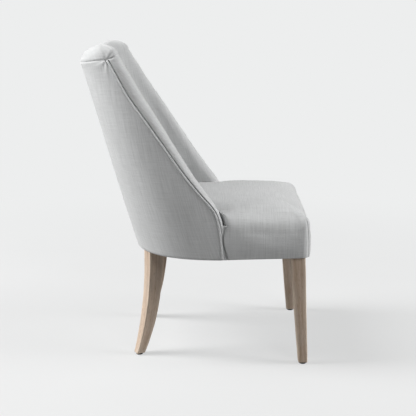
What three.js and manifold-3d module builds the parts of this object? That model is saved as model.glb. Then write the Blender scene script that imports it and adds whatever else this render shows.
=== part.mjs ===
// Upholstered dining chair with a curved back that runs forward into two sloping wings.
// Millimetres, +Z up. The chair faces -Y, the sitter's left is +X, and the origin is on
// the floor under the middle of the chair.
import * as THREE from 'three';
import { mergeVertices } from 'three/addons/utils/BufferGeometryUtils.js';
import Module from 'manifold-3d';

const wasm = await Module();
wasm.setup();

// Fits shared by all pieces
const seatGap = 0.3;
const cutOverrun = 12;

// Outside of the back, given at its lower edge and at the seam below its rounded top
const backLowerEdge = 315;
const backSeamRear = 867;
const backSeamTilt = 0.19;
const backRoofRiseFront = 36.5;
const backRoofRiseRear = 24;
const backRoofRiseLength = 80;
const backHalfWidthLow = 280;
const backHalfWidthHigh = 198;
const backWidthBow = 22;
const backRearLow = 173;
const backRearHigh = 337;
const backRearBow = 1;
const backShoulderLow = -98;
const backShoulderHigh = 190;
const backRoundness = 2.5;
const backSideTaper = 0.033;
const seamTiltGrowth = 3;

// Front edge of the wing, where the outer cover meets the inside pad
const wingEdgeLow = -89;
const wingEdgeHigh = 243;
const wingEdgeShares = [
	[0, 0], [0.077, 0.011], [0.15, 0.026], [0.204, 0.044], [0.24, 0.065], [0.27, 0.098],
	[0.3, 0.143], [0.329, 0.19], [0.428, 0.33], [0.568, 0.507], [0.682, 0.653], [0.796, 0.8],
	[0.913, 0.92], [1, 1],
];

// Rows of points up the back, closer together where the wing's edge bends
const rowShares = [
	0, 0.07, 0.14, 0.18, 0.215, 0.245, 0.27, 0.295, 0.32, 0.35, 0.39, 0.45, 0.55, 0.65, 0.75, 0.85,
	0.93, 1,
];

// Layers of the back, from the outside in
const coverThickness = 4;
const backFrameStart = 6.5;
const backFrameThickness = 19.5;
const backWebThickness = 1.5;
const wingThickness = 58;
const backThicknessLow = 80;
const backThicknessHigh = 60;
const backPadCrown = 7;
const wingRollReach = 31;
const wingRollShares = [
	[0, 0], [0.13, 0.1], [0.165, 0.12], [0.24, 0.1], [0.29, 0.18], [0.375, 0.4], [0.453, 0.53],
	[0.55, 0.66], [0.61, 0.74], [0.686, 0.87], [0.78, 1], [0.9, 0.97], [1, 0.86],
];
const wingRollInside = 30;
const wingRollTipShare = 0.68;
const padSeamSink = 1;
const padGroove = 3;
const pipingRadius = 2.6;
const pipingSink = 1.4;
const pipingClearance = 0.9;
const pipingSides = 8;
const pipingSteps = 34;
const pipingTopShare = 0.985;

// Back frame pieces
const wingSlatWidth = 32;
const topRailShare = 0.925;
const postStartShare = 0.6;
const postEndShare = 0.7;
const lowerRailRise = 44;
const lowerRailWidth = 44;
const backWebLevelShares = [[0.38, 0.46], [0.55, 0.63], [0.72, 0.8]];

// Seat
const seatLowerEdge = 321;
const seatFront = -343;
const seatFrontBow = 3;
const seatCornerRadius = 25;
const seatEdgeHeight = 449;
const seatCrownRise = 11;
const seatEdgeRound = 30;
const seatSideSwell = 3.5;
const seatNotch = -91;
const seatNotchRound = 3;
const seatBackClearance = 8.5;
const seatMiddle = -104;
const seatSkirtThickness = 4;
const seatSkirtEnd = -96;

// Seat frame
const railBottom = 327;
const railTop = 392;
const railStart = 6.5;
const railThickness = 26.5;
const frontRailFace = -328;
const frontRailThickness = 22;
const sideRailFront = -262;
const railSplitShare = 0.62;
const sideRailColumns = 10;
const rearRailColumns = 8;
const strapThickness = 1.5;
const strapWidth = 50;
const strapBearing = 5.5;
const longStrapShares = [-0.536, -0.179, 0.179, 0.536];
const crossStrapPlaces = [-250, -160, -20, 60];
const dustCoverThickness = 1.2;

// Corner braces with their bolts
const braceThickness = 22;
const braceLength = 190;
const braceBottom = 338;
const braceTop = 384;
const boltRadius = 4;
const boltClearance = 0.6;
const boltInLeg = 14;
const boltPastNut = 3;
const boltHeight = 362;
const boltSides = 12;
const washerRadius = 10;
const washerThickness = 2;
const nutRadius = 7.5;
const nutThickness = 6.5;

// Front legs: square, tapering, leaning slightly forward and outward
const frontLegTopHalf = 20.5;
const frontLegFootHalf = 13;
const frontLegTopInset = 37;
const frontLegTopY = -304;
const frontLegFootInset = 24;
const frontLegFootY = -324;

// Rear legs: square, turned in plan, straight at first and then swept back and outward
const rearLegTopHalf = 22;
const rearLegFootHalf = 11.5;
const rearLegTopInset = 120;
const rearLegTopY = 114;
const rearLegAngle = 28;
const rearLegSweep = 55;
const rearLegSweepPower = 1.75;
const rearLegTaperPower = 1.2;
const legTop = 388;
const legChamfer = 2.2;
const legSteps = 10;

// Glides
const glideHeight = 5;
const glideRadius = 10;
const glideEdge = 1.2;
const glideNailRadius = 1.6;
const glideNailLength = 16;
const glideSides = 20;

// Small helpers
const { degToRad, lerp, smoothstep } = THREE.MathUtils;
const power = (base, exponent) => Math.pow(Math.max(base, 0), exponent);
const sidesOfChair = [['left', 1], ['right', -1]];

// Legs keep their distance from the side of the chair
const frontLegTopX = backHalfWidthLow - frontLegTopInset;
const frontLegFootX = backHalfWidthLow - frontLegFootInset;
const rearLegTopX = backHalfWidthLow - rearLegTopInset;

// Smooth curve through a table of shares
function interpolate(table, share) {
	let index = 1;
	while (index < table.length - 1 && table[index][0] < share) index++;
	const [from, to] = [table[index - 1], table[index]];
	const slope = (place) => {
		const [before, after] = [table[Math.max(place - 1, 0)], table[Math.min(place + 1, table.length - 1)]];
		return (after[1] - before[1]) / (after[0] - before[0]);
	};
	const span = to[0] - from[0];
	const t = (share - from[0]) / span;
	const [startPull, endPull] = [slope(index - 1) * span, slope(index) * span];
	return from[1] * (1 + 2 * t) * (1 - t) * (1 - t) + startPull * t * (1 - t) * (1 - t)
		+ to[1] * t * t * (3 - 2 * t) + endPull * t * t * (t - 1);
}

// A closed body from points and faces; faces with a repeated corner are left out, and the
// whole is turned over where it came out inside out.
function closedBody(points, faces) {
	const kept = faces.filter(([a, b, c]) => a !== b && b !== c && c !== a);
	let volume = 0;
	for (const [a, b, c] of kept) {
		volume += points[a].dot(new THREE.Vector3().crossVectors(points[b], points[c]));
	}
	if (volume < 0) kept.forEach((face) => face.reverse());
	const geometry = new THREE.BufferGeometry();
	const numbers = points.flatMap((point) => point.toArray());
	geometry.setAttribute('position', new THREE.Float32BufferAttribute(numbers, 3));
	geometry.setIndex(kept.flat());
	return geometry;
}

// Stacks rings of equal length; each end is closed by a strip across the ring. With
// pointed ends the first point of a ring is alone, with blunt ends it faces the last one.
function loftRings(rings, pointed = false) {
	const count = rings[0].length;
	const faces = [];
	const quad = (a, b, c, d) => faces.push([a, b, c], [a, c, d]);
	for (let row = 0; row + 1 < rings.length; row++) {
		for (let step = 0; step < count; step++) {
			const next = (step + 1) % count;
			const [low, high] = [row * count, (row + 1) * count];
			quad(low + step, low + next, high + next, high + step);
		}
	}
	for (const [row, turned] of [[0, true], [rings.length - 1, false]]) {
		let low = 0;
		let high = pointed ? count : count - 1;
		while (high - low > 1) {
			const corners = [low, low + 1, high - 1, high].map((step) => row * count + step % count);
			if (turned) corners.reverse();
			quad(...corners);
			low++;
			high--;
		}
	}
	return closedBody(rings.flat(), faces);
}

// Stacks rings and closes each end with a fan to its middle
function loftToMiddle(rings) {
	const count = rings[0].length;
	const points = rings.flat();
	const faces = [];
	for (let row = 0; row + 1 < rings.length; row++) {
		for (let step = 0; step < count; step++) {
			const next = (step + 1) % count;
			const [low, high] = [row * count, (row + 1) * count];
			faces.push([low + step, low + next, high + next], [low + step, high + next, high + step]);
		}
	}
	for (const [row, turned] of [[0, true], [rings.length - 1, false]]) {
		const middle = rings[row].reduce((sum, point) => sum.add(point), new THREE.Vector3());
		points.push(middle.divideScalar(count));
		for (let step = 0; step < count; step++) {
			const face = [row * count + step, row * count + (step + 1) % count, points.length - 1];
			faces.push(turned ? face.reverse() : face);
		}
	}
	return closedBody(points, faces);
}

// Booleans
function toSolid(geometry) {
	const bare = geometry.clone();
	for (const name of ['normal', 'uv']) if (bare.getAttribute(name)) bare.deleteAttribute(name);
	const merged = mergeVertices(bare);
	return new wasm.Manifold(new wasm.Mesh({
		numProp: 3,
		vertProperties: new Float32Array(merged.getAttribute('position').array),
		triVerts: new Uint32Array(merged.index.array),
	}));
}

function toGeometry(solid) {
	const mesh = solid.getMesh();
	const geometry = new THREE.BufferGeometry();
	geometry.setAttribute('position', new THREE.BufferAttribute(mesh.vertProperties, 3));
	geometry.setIndex(new THREE.BufferAttribute(mesh.triVerts, 1));
	return geometry;
}

const cutFrom = (geometry, tools) => toGeometry(
	tools.reduce((solid, tool) => solid.subtract(toSolid(tool)), toSolid(geometry)));
const common = (geometry, other) => toGeometry(toSolid(geometry).intersect(toSolid(other)));

function prism(outline, bottom, top) {
	const shape = new THREE.Shape(outline);
	const geometry = new THREE.ExtrudeGeometry(shape, { depth: top - bottom, bevelEnabled: false });
	return geometry.translate(0, 0, bottom);
}

// Plan of the back. A level is 0 at the lower edge and 1 at the top seam.
const levelOf = (height) => (height - backLowerEdge) / (backSeamRear - backLowerEdge);
const bowed = (low, high, bow, level) => lerp(low, high, level) + bow * 4 * level * (1 - level);
const wingEdge = (level) => lerp(wingEdgeLow, wingEdgeHigh, interpolate(wingEdgeShares, level));
// How much wider a band along the wing's edge is when it is measured level
function edgeStretch(level) {
	const [below, above] = [Math.max(level - 0.02, 0), Math.min(level + 0.02, 1)];
	const height = (above - below) * (backSeamRear - backLowerEdge);
	return Math.hypot(1, (wingEdge(above) - wingEdge(below)) / height);
}
const backThickness = (level) => lerp(backThicknessLow, backThicknessHigh, level);

function levelHeight(level, y) {
	const straight = lerp(backLowerEdge, backSeamRear, level);
	return straight + (backRearHigh - y) * backSeamTilt * power(level, seamTiltGrowth);
}

// One side of the plan at a level, drawn in by the given depths, from a start line to the
// middle of the rear
function planPath(level, sideDepth, rearDepth, start, samples = 48) {
	const half = bowed(backHalfWidthLow, backHalfWidthHigh, backWidthBow, level) - sideDepth;
	const rear = bowed(backRearLow, backRearHigh, backRearBow, level) - rearDepth;
	const shoulder = lerp(backShoulderLow, backShoulderHigh, level);
	const path = [];
	for (let step = 0; step <= samples; step++) {
		const angle = Math.PI / 2 * step / samples;
		const across = half * power(Math.cos(angle), 2 / backRoundness);
		const along = shoulder + (rear - shoulder) * power(Math.sin(angle), 2 / backRoundness);
		path.push(new THREE.Vector2(step === samples ? 0 : across, along));
	}
	if (start < shoulder) {
		path.unshift(new THREE.Vector2(half - (shoulder - start) * backSideTaper, start));
		return path;
	}
	while (path[1].y <= start) path.shift();
	const share = (start - path[0].y) / (path[1].y - path[0].y);
	path[0] = path[0].clone().lerp(path[1], share);
	return path;
}

function pathLength(path) {
	let length = 0;
	for (let step = 1; step < path.length; step++) length += path[step].distanceTo(path[step - 1]);
	return length;
}

function pointAlong(path, length) {
	let left = length;
	for (let step = 1; step < path.length; step++) {
		const span = path[step].distanceTo(path[step - 1]);
		if (left <= span || step === path.length - 1) {
			return path[step - 1].clone().lerp(path[step], Math.min(left / span, 1));
		}
		left -= span;
	}
	return path[path.length - 1].clone();
}

const spread = (path, from, to, count) => Array.from({ length: count + 1 }, (_, step) =>
	pointAlong(path, lerp(from, to, step / count)));
const mirrored = (points) => points.map((point) => new THREE.Vector2(-point.x, point.y));
const acrossMiddle = (half) => [...half, ...mirrored(half).reverse().slice(1)];

// A curved board between two depths; rows give the level, and the height where it is not
// the level's own. A half board covers one side only, between two lengths.
function curvedBoard({ rows, outer, inner, start, from = () => 0, to = null, columns }) {
	const rings = rows.map(({ level, height = null, drop = 0 }) => {
		const edges = [outer, inner].map((depth) => {
			const path = planPath(level, depth, depth, start(level));
			const whole = pathLength(path);
			const half = spread(path, from(whole), to ? to(whole) : whole, columns);
			return to ? half : acrossMiddle(half);
		});
		const ring = [...edges[0], ...edges[1].reverse()];
		return ring.map(({ x, y }) => {
			return new THREE.Vector3(x, y, height ?? levelHeight(level, y) - drop);
		});
	});
	return loftRings(rings);
}

const levelsBetween = (from, to, count) => Array.from({ length: count + 1 }, (_, step) =>
	({ level: lerp(from, to, step / count) }));
const flip = (geometry) => {
	const turned = geometry.clone().scale(-1, 1, 1);
	const corners = Array.from(turned.index.array);
	for (let face = 0; face < corners.length; face += 3) {
		[corners[face], corners[face + 1]] = [corners[face + 1], corners[face]];
	}
	turned.setIndex(corners);
	return turned;
};

// Legs, drawn on the sitter's left
function squareRing(x, y, height, half, chamfer, turn) {
	const flat = half - chamfer;
	const corners = [
		[half, -flat], [half, flat], [flat, half], [-flat, half],
		[-half, flat], [-half, -flat], [-flat, -half], [flat, -half],
	];
	const middle = new THREE.Vector2();
	return corners.map(([u, v]) => {
		const corner = new THREE.Vector2(u, v).rotateAround(middle, turn);
		return new THREE.Vector3(x + corner.x, y + corner.y, height);
	});
}

function legRings(name, grow = 0) {
	const front = name === 'front';
	const lower = front ? seatLowerEdge : backLowerEdge;
	const topHalf = front ? frontLegTopHalf : rearLegTopHalf;
	const turn = front ? 0 : degToRad(-rearLegAngle);
	const rings = [];
	for (let step = 0; step <= legSteps; step++) {
		const share = 1 - step / legSteps;
		const height = lerp(lower - seatGap, glideHeight, share);
		let x = lerp(frontLegTopX, frontLegFootX, share);
		let y = lerp(frontLegTopY, frontLegFootY, share);
		let half = lerp(frontLegTopHalf, frontLegFootHalf, share);
		if (!front) {
			const sweep = rearLegSweep * power(share, rearLegSweepPower);
			x = rearLegTopX + sweep * Math.sin(-turn);
			y = rearLegTopY + sweep * Math.cos(turn);
			half = lerp(rearLegTopHalf, rearLegFootHalf, power(share, rearLegTaperPower));
		}
		if (front && step > 0 && step < legSteps) continue;
		rings.push(squareRing(x, y, height, half + grow, legChamfer, turn));
	}
	const [x, y] = front ? [frontLegTopX, frontLegTopY] : [rearLegTopX, rearLegTopY];
	rings.push(squareRing(x, y, legTop + grow, topHalf + grow, legChamfer, turn));
	return rings;
}

const legClearance = (name) => loftRings(legRings(name, seatGap).slice(-2).map((ring, index) =>
	ring.map((point) => new THREE.Vector3(point.x, point.y,
		index ? legTop + cutOverrun : seatLowerEdge - cutOverrun))));

// Heights of the two layers of webbing, and of the seat foam on them
const strapLevel = [railTop + seatGap, railTop + seatGap * 2 + strapThickness];
const seatFoamBottom = strapLevel[1] + strapThickness + seatGap;

// Seat outline, from the middle of the front round to the middle of the rear. Scaling it
// about the seat's middle draws it in.
const seatLevel = levelOf(seatLowerEdge);
const seatSide = (y) => {
	const path = planPath(seatLevel, 0, 0, Math.min(y, backShoulderLow));
	return path[0].x;
};

function arc(centreX, centreY, radius, from, to, count) {
	return Array.from({ length: count + 1 }, (_, step) => {
		const angle = degToRad(lerp(from, to, step / count));
		return new THREE.Vector2(centreX + radius * Math.cos(angle), centreY + radius * Math.sin(angle));
	});
}

function seatOutline(scale, height) {
	const corner = seatFront + seatFrontBow;
	const cornerX = seatSide(corner + seatCornerRadius) - seatCornerRadius;
	const half = [];
	for (const share of [0, 0.3, 0.6, 0.85]) {
		half.push(new THREE.Vector2(cornerX * share, seatFront + seatFrontBow * share * share));
	}
	half.push(...arc(cornerX, corner + seatCornerRadius, seatCornerRadius, -90, 0, 4));
	for (const share of [0.33, 0.66]) {
		const y = lerp(corner + seatCornerRadius, seatNotch, share);
		half.push(new THREE.Vector2(seatSide(y), y));
	}
	const side = seatSide(seatNotch) - seatNotchRound;
	half.push(...arc(side, seatNotch - seatNotchRound, seatNotchRound, 0, 90, 2));
	const level = levelOf(Math.max(height, seatFoamBottom));
	const depths = [wingThickness, backThickness(level)].map((depth) => depth + seatBackClearance);
	const rear = planPath(level, ...depths, seatNotch);
	half.push(...spread(rear, 0, pathLength(rear), 11));
	return [...half, ...mirrored(half.slice(1, -1)).reverse()].map(({ x, y }) =>
		new THREE.Vector3(x * scale, lerp(seatMiddle, y, scale), height));
}

function seatGeometry() {
	const halfWidth = seatSide(seatNotch);
	const inset = (depth) => 1 - depth / halfWidth;
	const sideTop = seatEdgeHeight - seatEdgeRound;
	const rings = [
		seatOutline(1, seatLowerEdge),
		seatOutline(inset(-seatSideSwell), lerp(seatLowerEdge, sideTop, 0.5)),
		seatOutline(1, sideTop),
	];
	for (const angle of [30, 55, 75]) {
		const turn = degToRad(angle);
		rings.push(seatOutline(inset(seatEdgeRound * (1 - Math.cos(turn))),
			sideTop + seatEdgeRound * Math.sin(turn)));
	}
	for (const share of [0.72, 0.45, 0.2]) {
		rings.push(seatOutline(share, seatEdgeHeight + seatCrownRise * (1 - share * share)));
	}
	const whole = loftToMiddle(rings);
	const under = loftToMiddle([seatLowerEdge - cutOverrun, seatFoamBottom].map((height) =>
		seatOutline(inset(seatSkirtThickness), height)));
	const rearLength = backRearHigh - seatSkirtEnd;
	const depth = seatFoamBottom - seatLowerEdge + cutOverrun;
	const rearUnder = new THREE.BoxGeometry(backHalfWidthLow * 3, rearLength, depth);
	rearUnder.translate(0, seatSkirtEnd + rearLength / 2, seatFoamBottom - depth / 2);
	return cutFrom(whole, [under, rearUnder]);
}

// Inside pad: lines the back and the wings, rolls round the wings' front edges and over
// the top, and meets the outer cover there
const padBack = backFrameStart + backFrameThickness + backWebThickness + seatGap * 3;
const rollReach = (level) => (pipingRadius + padGroove) * edgeStretch(level) +
	wingRollReach * interpolate(wingRollShares, level);

function padRing({ level, turn = 0, wrapped = false }) {
	const middle = wingThickness / 2;
	const flatness = Math.cos(turn);
	const edge = wingEdge(level);
	const reach = rollReach(level) * flatness;
	const outerDepth = wrapped ? middle - (middle - padSeamSink) * flatness : padSeamSink;
	const seamY = edge - (pipingRadius + padGroove) * edgeStretch(level) * flatness;
	const rearThickness = backThickness(level);
	const at = (share, y) => {
		const rearDepth = share * rearThickness;
		const path = planPath(level, share * wingThickness, rearDepth, y);
		return path[0];
	};
	const quarter = [0.35, 0.7, 1];
	const tipShare = lerp(0.5, wingRollTipShare, flatness);
	const outerHalf = [at(tipShare, edge - reach)];
	const innerHalf = [];
	for (const share of quarter) {
		const angle = share * Math.PI / 2;
		const depthShare = lerp(tipShare, outerDepth / wingThickness, Math.sin(angle));
		const y = lerp(seamY, edge - reach, Math.cos(angle));
		outerHalf.push(at(depthShare, y));
		const insideShare = lerp(tipShare, 1 - 0.5 * (1 - flatness), Math.sin(angle));
		innerHalf.push(at(insideShare, edge - reach + wingRollInside * flatness * (1 - Math.cos(angle))));
	}
	const behind = wrapped ? outerDepth : padBack;
	const outerPath = planPath(level, behind, behind, wrapped ? seamY + padBack / 4 : seamY);
	const outerLength = pathLength(outerPath);
	outerHalf.push(...spread(outerPath, 0, outerLength, 9));
	const crown = backPadCrown * Math.sin(Math.PI * Math.min(level, 1)) * flatness;
	const lastInside = innerHalf[innerHalf.length - 1];
	const inside = 1 - 0.5 * (1 - flatness);
	const innerPath = planPath(level, inside * wingThickness, inside * rearThickness, lastInside.y);
	const innerLength = pathLength(innerPath);
	const drawn = spread(innerPath, 0, innerLength, 10).slice(1).map((point, index) => {
		const share = (index + 1) / 10;
		const push = crown * smoothstep(share, 0, 0.4);
		const towards = new THREE.Vector2(-point.x, lerp(point.y, 0, 0.5) - point.y).normalize();
		return point.clone().add(towards.multiplyScalar(push * (1 - 0.3 * share)));
	});
	drawn[drawn.length - 1].x = 0;
	innerHalf.push(...drawn);
	const ring = [
		...acrossMiddle(outerHalf),
		...mirrored(innerHalf),
		...[...innerHalf].reverse().slice(1),
	];
	return ring.map(({ x, y }) => {
		const forward = smoothstep(backRearHigh - y, 0, backRoofRiseLength);
		const lift = lerp(backRoofRiseRear, backRoofRiseFront, forward) * Math.sin(turn);
		return new THREE.Vector3(x, y, levelHeight(level, y) + lift);
	});
}

const padBottomLevel = levelOf(seatFoamBottom + seatGap);

function padGeometry() {
	const levels = rowShares.filter((level) => level > padBottomLevel);
	const rings = [padBottomLevel, ...levels].map((level) => padRing({ level }));
	for (const angle of [0, 30, 56, 76]) {
		rings.push(padRing({ level: 1, turn: degToRad(angle), wrapped: true }));
	}
	return loftRings(rings, true);
}

const group = new THREE.Group();
function add(name, geometry, colour, roughness, metalness = 0) {
	const material = new THREE.MeshStandardMaterial({ color: colour, roughness, metalness });
	const flat = geometry.clone();
	for (const key of ['normal', 'uv']) if (flat.getAttribute(key)) flat.deleteAttribute(key);
	const mesh = new THREE.Mesh(mergeVertices(flat), material);
	mesh.name = name;
	group.add(mesh);
}

// Shared materials
const linen = [0xb9b6b0, 0.95];
const oak = [0xa08a70, 0.7];
const pine = [0xcdb48a, 0.85];
const steel = [0x9a9c9e, 0.4, 0.9];
const webbing = [0x5a5348, 0.95];
const blackPlastic = [0x1b1b1c, 0.5];
const blackCloth = [0x252526, 0.95];

// Legs, glides, bolts and braces
const coverClearance = curvedBoard({
	rows: [backLowerEdge - seatGap, legTop + cutOverrun].map((height) =>
		({ level: levelOf(height), height })),
	outer: -cutOverrun * 3, inner: coverThickness + seatGap * 2, start: () => seatNotch, columns: 16,
});
const skirtRing = [seatOutline(1 - seatSkirtThickness * 1.4 / backHalfWidthLow, seatLowerEdge)];
const skirtInside = skirtRing[0].map(({ x, y }) => new THREE.Vector2(x, y));
const skirtCore = prism(skirtInside, seatLowerEdge - seatGap, legTop + cutOverrun * 2);
const skirtLength = seatSkirtEnd - seatFront + cutOverrun * 2;
const skirtBlock = new THREE.BoxGeometry(backHalfWidthLow * 4, skirtLength, cutOverrun * 8);
skirtBlock.translate(0, seatSkirtEnd - skirtLength / 2, seatLowerEdge - seatGap + cutOverrun * 4);
const skirtClearance = cutFrom(skirtBlock, [skirtCore]);

const railInner = railStart + railThickness;
const railRows = [railBottom, railTop].map((height) => ({ level: levelOf(height), height }));
const sideBoard = (clearance) => curvedBoard({
	rows: railRows, outer: railStart, inner: railInner + clearance, start: () => sideRailFront,
	to: (whole) => whole * railSplitShare, columns: sideRailColumns,
});
const rearBoard = (clearance) => curvedBoard({
	rows: railRows, outer: railStart, inner: railInner + clearance, start: () => sideRailFront,
	from: (whole) => whole * railSplitShare + seatGap - clearance, columns: rearRailColumns,
});
function insideFrame(bottom, top) {
	const front = frontRailFace + frontRailThickness + seatGap;
	const depth = railStart + railThickness / 2;
	const rings = [bottom, top].map((height) => {
		const path = planPath(levelOf(height), depth, depth, front);
		const half = spread(path, 0, pathLength(path), sideRailColumns * 2);
		return acrossMiddle(half).map(({ x, y }) => new THREE.Vector3(x, y, height));
	});
	return loftToMiddle(rings);
}
const braceRoom = insideFrame(railBottom, railTop);

for (const name of ['front', 'rear']) {
	const front = name === 'front';
	const [x, y] = front ? [frontLegTopX, frontLegTopY] : [rearLegTopX, rearLegTopY];
	const turn = degToRad(front ? 45 : rearLegAngle);
	const outward = new THREE.Vector3(Math.sin(turn), front ? -Math.cos(turn) : Math.cos(turn), 0);
	const half = front ? frontLegTopHalf : rearLegTopHalf;
	const legFace = front ? (half - legChamfer / 2) * Math.SQRT2 : half;
	const braceNear = legFace + seatGap;
	const washerNear = braceNear + braceThickness + seatGap;
	const nutNear = washerNear + washerThickness + seatGap;
	const boltEnd = nutNear + nutThickness + boltPastNut;
	const boltStart = legFace - boltInLeg;
	const alongBolt = new THREE.Quaternion().setFromUnitVectors(
		new THREE.Vector3(0, 1, 0), outward.clone().negate());
	const onBolt = (geometry, distance) => {
		const spot = new THREE.Vector3(x, y, boltHeight).addScaledVector(outward, -distance);
		return geometry.clone().applyQuaternion(alongBolt).translate(spot.x, spot.y, spot.z);
	};
	const boltLength = boltEnd - boltStart;
	const bolt = onBolt(new THREE.CylinderGeometry(boltRadius, boltRadius, boltLength, boltSides),
		boltStart + boltLength / 2);
	const holeRadius = boltRadius + boltClearance;
	const holeLength = boltLength + seatGap * 2 + cutOverrun;
	const hole = onBolt(new THREE.CylinderGeometry(holeRadius, holeRadius, holeLength, boltSides),
		boltStart - seatGap + holeLength / 2);
	const washer = onBolt(new THREE.LatheGeometry([
		[holeRadius, 0], [washerRadius, 0], [washerRadius, washerThickness],
		[holeRadius, washerThickness], [holeRadius, 0],
	].map(([u, v]) => new THREE.Vector2(u, v)), boltSides), washerNear);
	const hexagon = new THREE.Shape(Array.from({ length: 6 }, (_, step) => {
		const angle = degToRad(60 * step);
		return new THREE.Vector2(nutRadius * Math.cos(angle), nutRadius * Math.sin(angle));
	}));
	hexagon.holes.push(new THREE.Path(Array.from({ length: boltSides }, (_, step) => {
		const angle = degToRad(-360 * step / boltSides);
		return new THREE.Vector2(holeRadius * Math.cos(angle), holeRadius * Math.sin(angle));
	})));
	const nutShape = new THREE.ExtrudeGeometry(hexagon, { depth: nutThickness, bevelEnabled: false });
	const nut = onBolt(nutShape.rotateX(-Math.PI / 2), nutNear);

	const foot = legRings(name)[0].reduce((sum, point) => sum.add(point), new THREE.Vector3())
		.divideScalar(8);
	const nailHole = new THREE.CylinderGeometry(glideNailRadius + seatGap,
		glideNailRadius + seatGap, glideNailLength * 2, glideSides / 2).rotateX(Math.PI / 2)
		.translate(foot.x, foot.y, glideHeight);
	const legShape = cutFrom(loftRings(legRings(name)),
		[front ? skirtClearance : coverClearance, hole, nailHole]);
	const glide = new THREE.LatheGeometry([
		[0, 0], [glideRadius - glideEdge, 0], [glideRadius, glideEdge],
		[glideRadius, glideHeight - seatGap], [glideNailRadius, glideHeight - seatGap],
		[glideNailRadius, glideHeight + glideNailLength - glideEdge * 2],
		[0, glideHeight + glideNailLength - glideEdge],
	].map(([u, v]) => new THREE.Vector2(u, v)), glideSides).rotateX(Math.PI / 2)
		.translate(foot.x, foot.y, 0);

	const board = new THREE.BoxGeometry(braceLength, braceThickness, braceTop - braceBottom);
	const facing = Math.atan2(outward.y, outward.x) - Math.PI / 2;
	const braceSpot = new THREE.Vector3(x, y, (braceTop + braceBottom) / 2)
		.addScaledVector(outward, -(braceNear + braceThickness / 2));
	board.rotateZ(facing).translate(braceSpot.x, braceSpot.y, braceSpot.z);
	const brace = cutFrom(common(board, braceRoom), [
		hole, legClearance(name), sideBoard(seatGap), rearBoard(seatGap),
	]);

	for (const [side, sign] of sidesOfChair) {
		const place = (geometry) => {
			const merged = geometry.index ? geometry : mergeVertices(geometry);
			return sign > 0 ? merged : flip(merged);
		};
		add(`leg_${name}_${side}`, place(legShape), ...oak);
		add(`glide_${name}_${side}`, place(glide), ...blackPlastic);
		add(`corner_brace_${name}_${side}`, place(brace), ...pine);
		add(`leg_bolt_${name}_${side}`, place(bolt), ...steel);
		add(`leg_washer_${name}_${side}`, place(washer), ...steel);
		add(`leg_nut_${name}_${side}`, place(nut), ...steel);
	}
}

// Seat frame
const bothSides = (geometry) => [geometry, flip(geometry)];
const legRoom = [...bothSides(legClearance('front')), ...bothSides(legClearance('rear'))];
const frontRailLength = seatSide(seatFront) * 2 - railStart * 2 - seatCornerRadius;
const frontRail = new THREE.BoxGeometry(frontRailLength, frontRailThickness, railTop - railBottom);
frontRail.translate(0, frontRailFace + frontRailThickness / 2, (railTop + railBottom) / 2);
add('front_rail', common(cutFrom(frontRail, legRoom), new THREE.BoxGeometry(
	(frontLegTopX - frontLegTopHalf) * 2, -seatFront * 3, railTop * 3)), ...pine);

const sideRail = cutFrom(sideBoard(0), legRoom);
add('side_rail_left', sideRail, ...pine);
add('side_rail_right', flip(sideRail), ...pine);
add('rear_rail', cutFrom(rearBoard(0), legRoom), ...pine);

// Webbing under the seat
const strapEnd = railInner - strapBearing;
const railLevel = levelOf(railTop);
longStrapShares.forEach((share, index) => {
	const x = share * backHalfWidthLow;
	const path = planPath(railLevel, strapEnd, strapEnd, 0);
	let step = 0;
	while (step < path.length - 1 && path[step].x > Math.abs(x) + strapWidth / 2) step++;
	const front = frontRailFace + frontRailThickness - strapBearing;
	const rear = path[step - 1].y;
	const strap = new THREE.BoxGeometry(strapWidth, rear - front, strapThickness);
	strap.translate(x, (front + rear) / 2, strapLevel[0] + strapThickness / 2);
	add(`seat_strap_long_${index + 1}`, strap, ...webbing);
});
crossStrapPlaces.forEach((y, index) => {
	const reach = Math.min(...[y - strapWidth / 2, y + strapWidth / 2].map((end) =>
		planPath(railLevel, strapEnd, strapEnd, end)[0].x));
	const strap = new THREE.BoxGeometry(reach * 2, strapWidth, strapThickness);
	strap.translate(0, y, strapLevel[1] + strapThickness / 2);
	add(`seat_strap_cross_${index + 1}`, strap, ...webbing);
});

// Dust cover under the frame
const dustOutline = (() => {
	const depth = railStart + dustCoverThickness;
	const path = planPath(levelOf(railBottom), depth, depth, frontRailFace);
	return acrossMiddle(spread(path, 0, pathLength(path), 20));
})();
add('dust_cover', cutFrom(prism(dustOutline, railBottom - seatGap - dustCoverThickness,
	railBottom - seatGap), [...legRoom, skirtClearance]), ...blackCloth);

// Back frame
const frameInner = backFrameStart + backFrameThickness;
const frameFront = (level) => wingEdge(level) + pipingRadius * edgeStretch(level);
const frameBase = levelOf(railTop + seatGap * 2);
const slat = curvedBoard({
	rows: [
		frameBase, ...rowShares.filter((level) => level > frameBase && level < topRailShare),
		topRailShare,
	].map((level) => ({ level })),
	outer: backFrameStart, inner: frameInner,
	start: frameFront, to: () => wingSlatWidth, columns: 2,
});
add('wing_slat_left', slat, ...pine);
add('wing_slat_right', flip(slat), ...pine);
const railGapLevel = seatGap * 2 / (backSeamRear - backLowerEdge);
add('back_top_rail', curvedBoard({
	rows: [{ level: topRailShare + railGapLevel }, { level: 1, drop: seatGap }],
	outer: backFrameStart, inner: frameInner, start: frameFront, columns: 10,
}), ...pine);
const lowerRailLevels = [
	railTop + lowerRailRise, railTop + lowerRailRise + lowerRailWidth,
].map(levelOf);
const postStart = (level) => lerp(wingEdgeLow, wingEdgeHigh, level);
const post = curvedBoard({
	rows: [
		{ level: frameBase }, ...levelsBetween(...lowerRailLevels, 1),
		...levelsBetween(lowerRailLevels[1], topRailShare, 4).slice(1),
	],
	outer: backFrameStart, inner: frameInner, start: postStart,
	from: (whole) => whole * postStartShare, to: (whole) => whole * postEndShare, columns: 2,
});
add('back_post_left', post, ...pine);
add('back_post_right', flip(post), ...pine);
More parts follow.
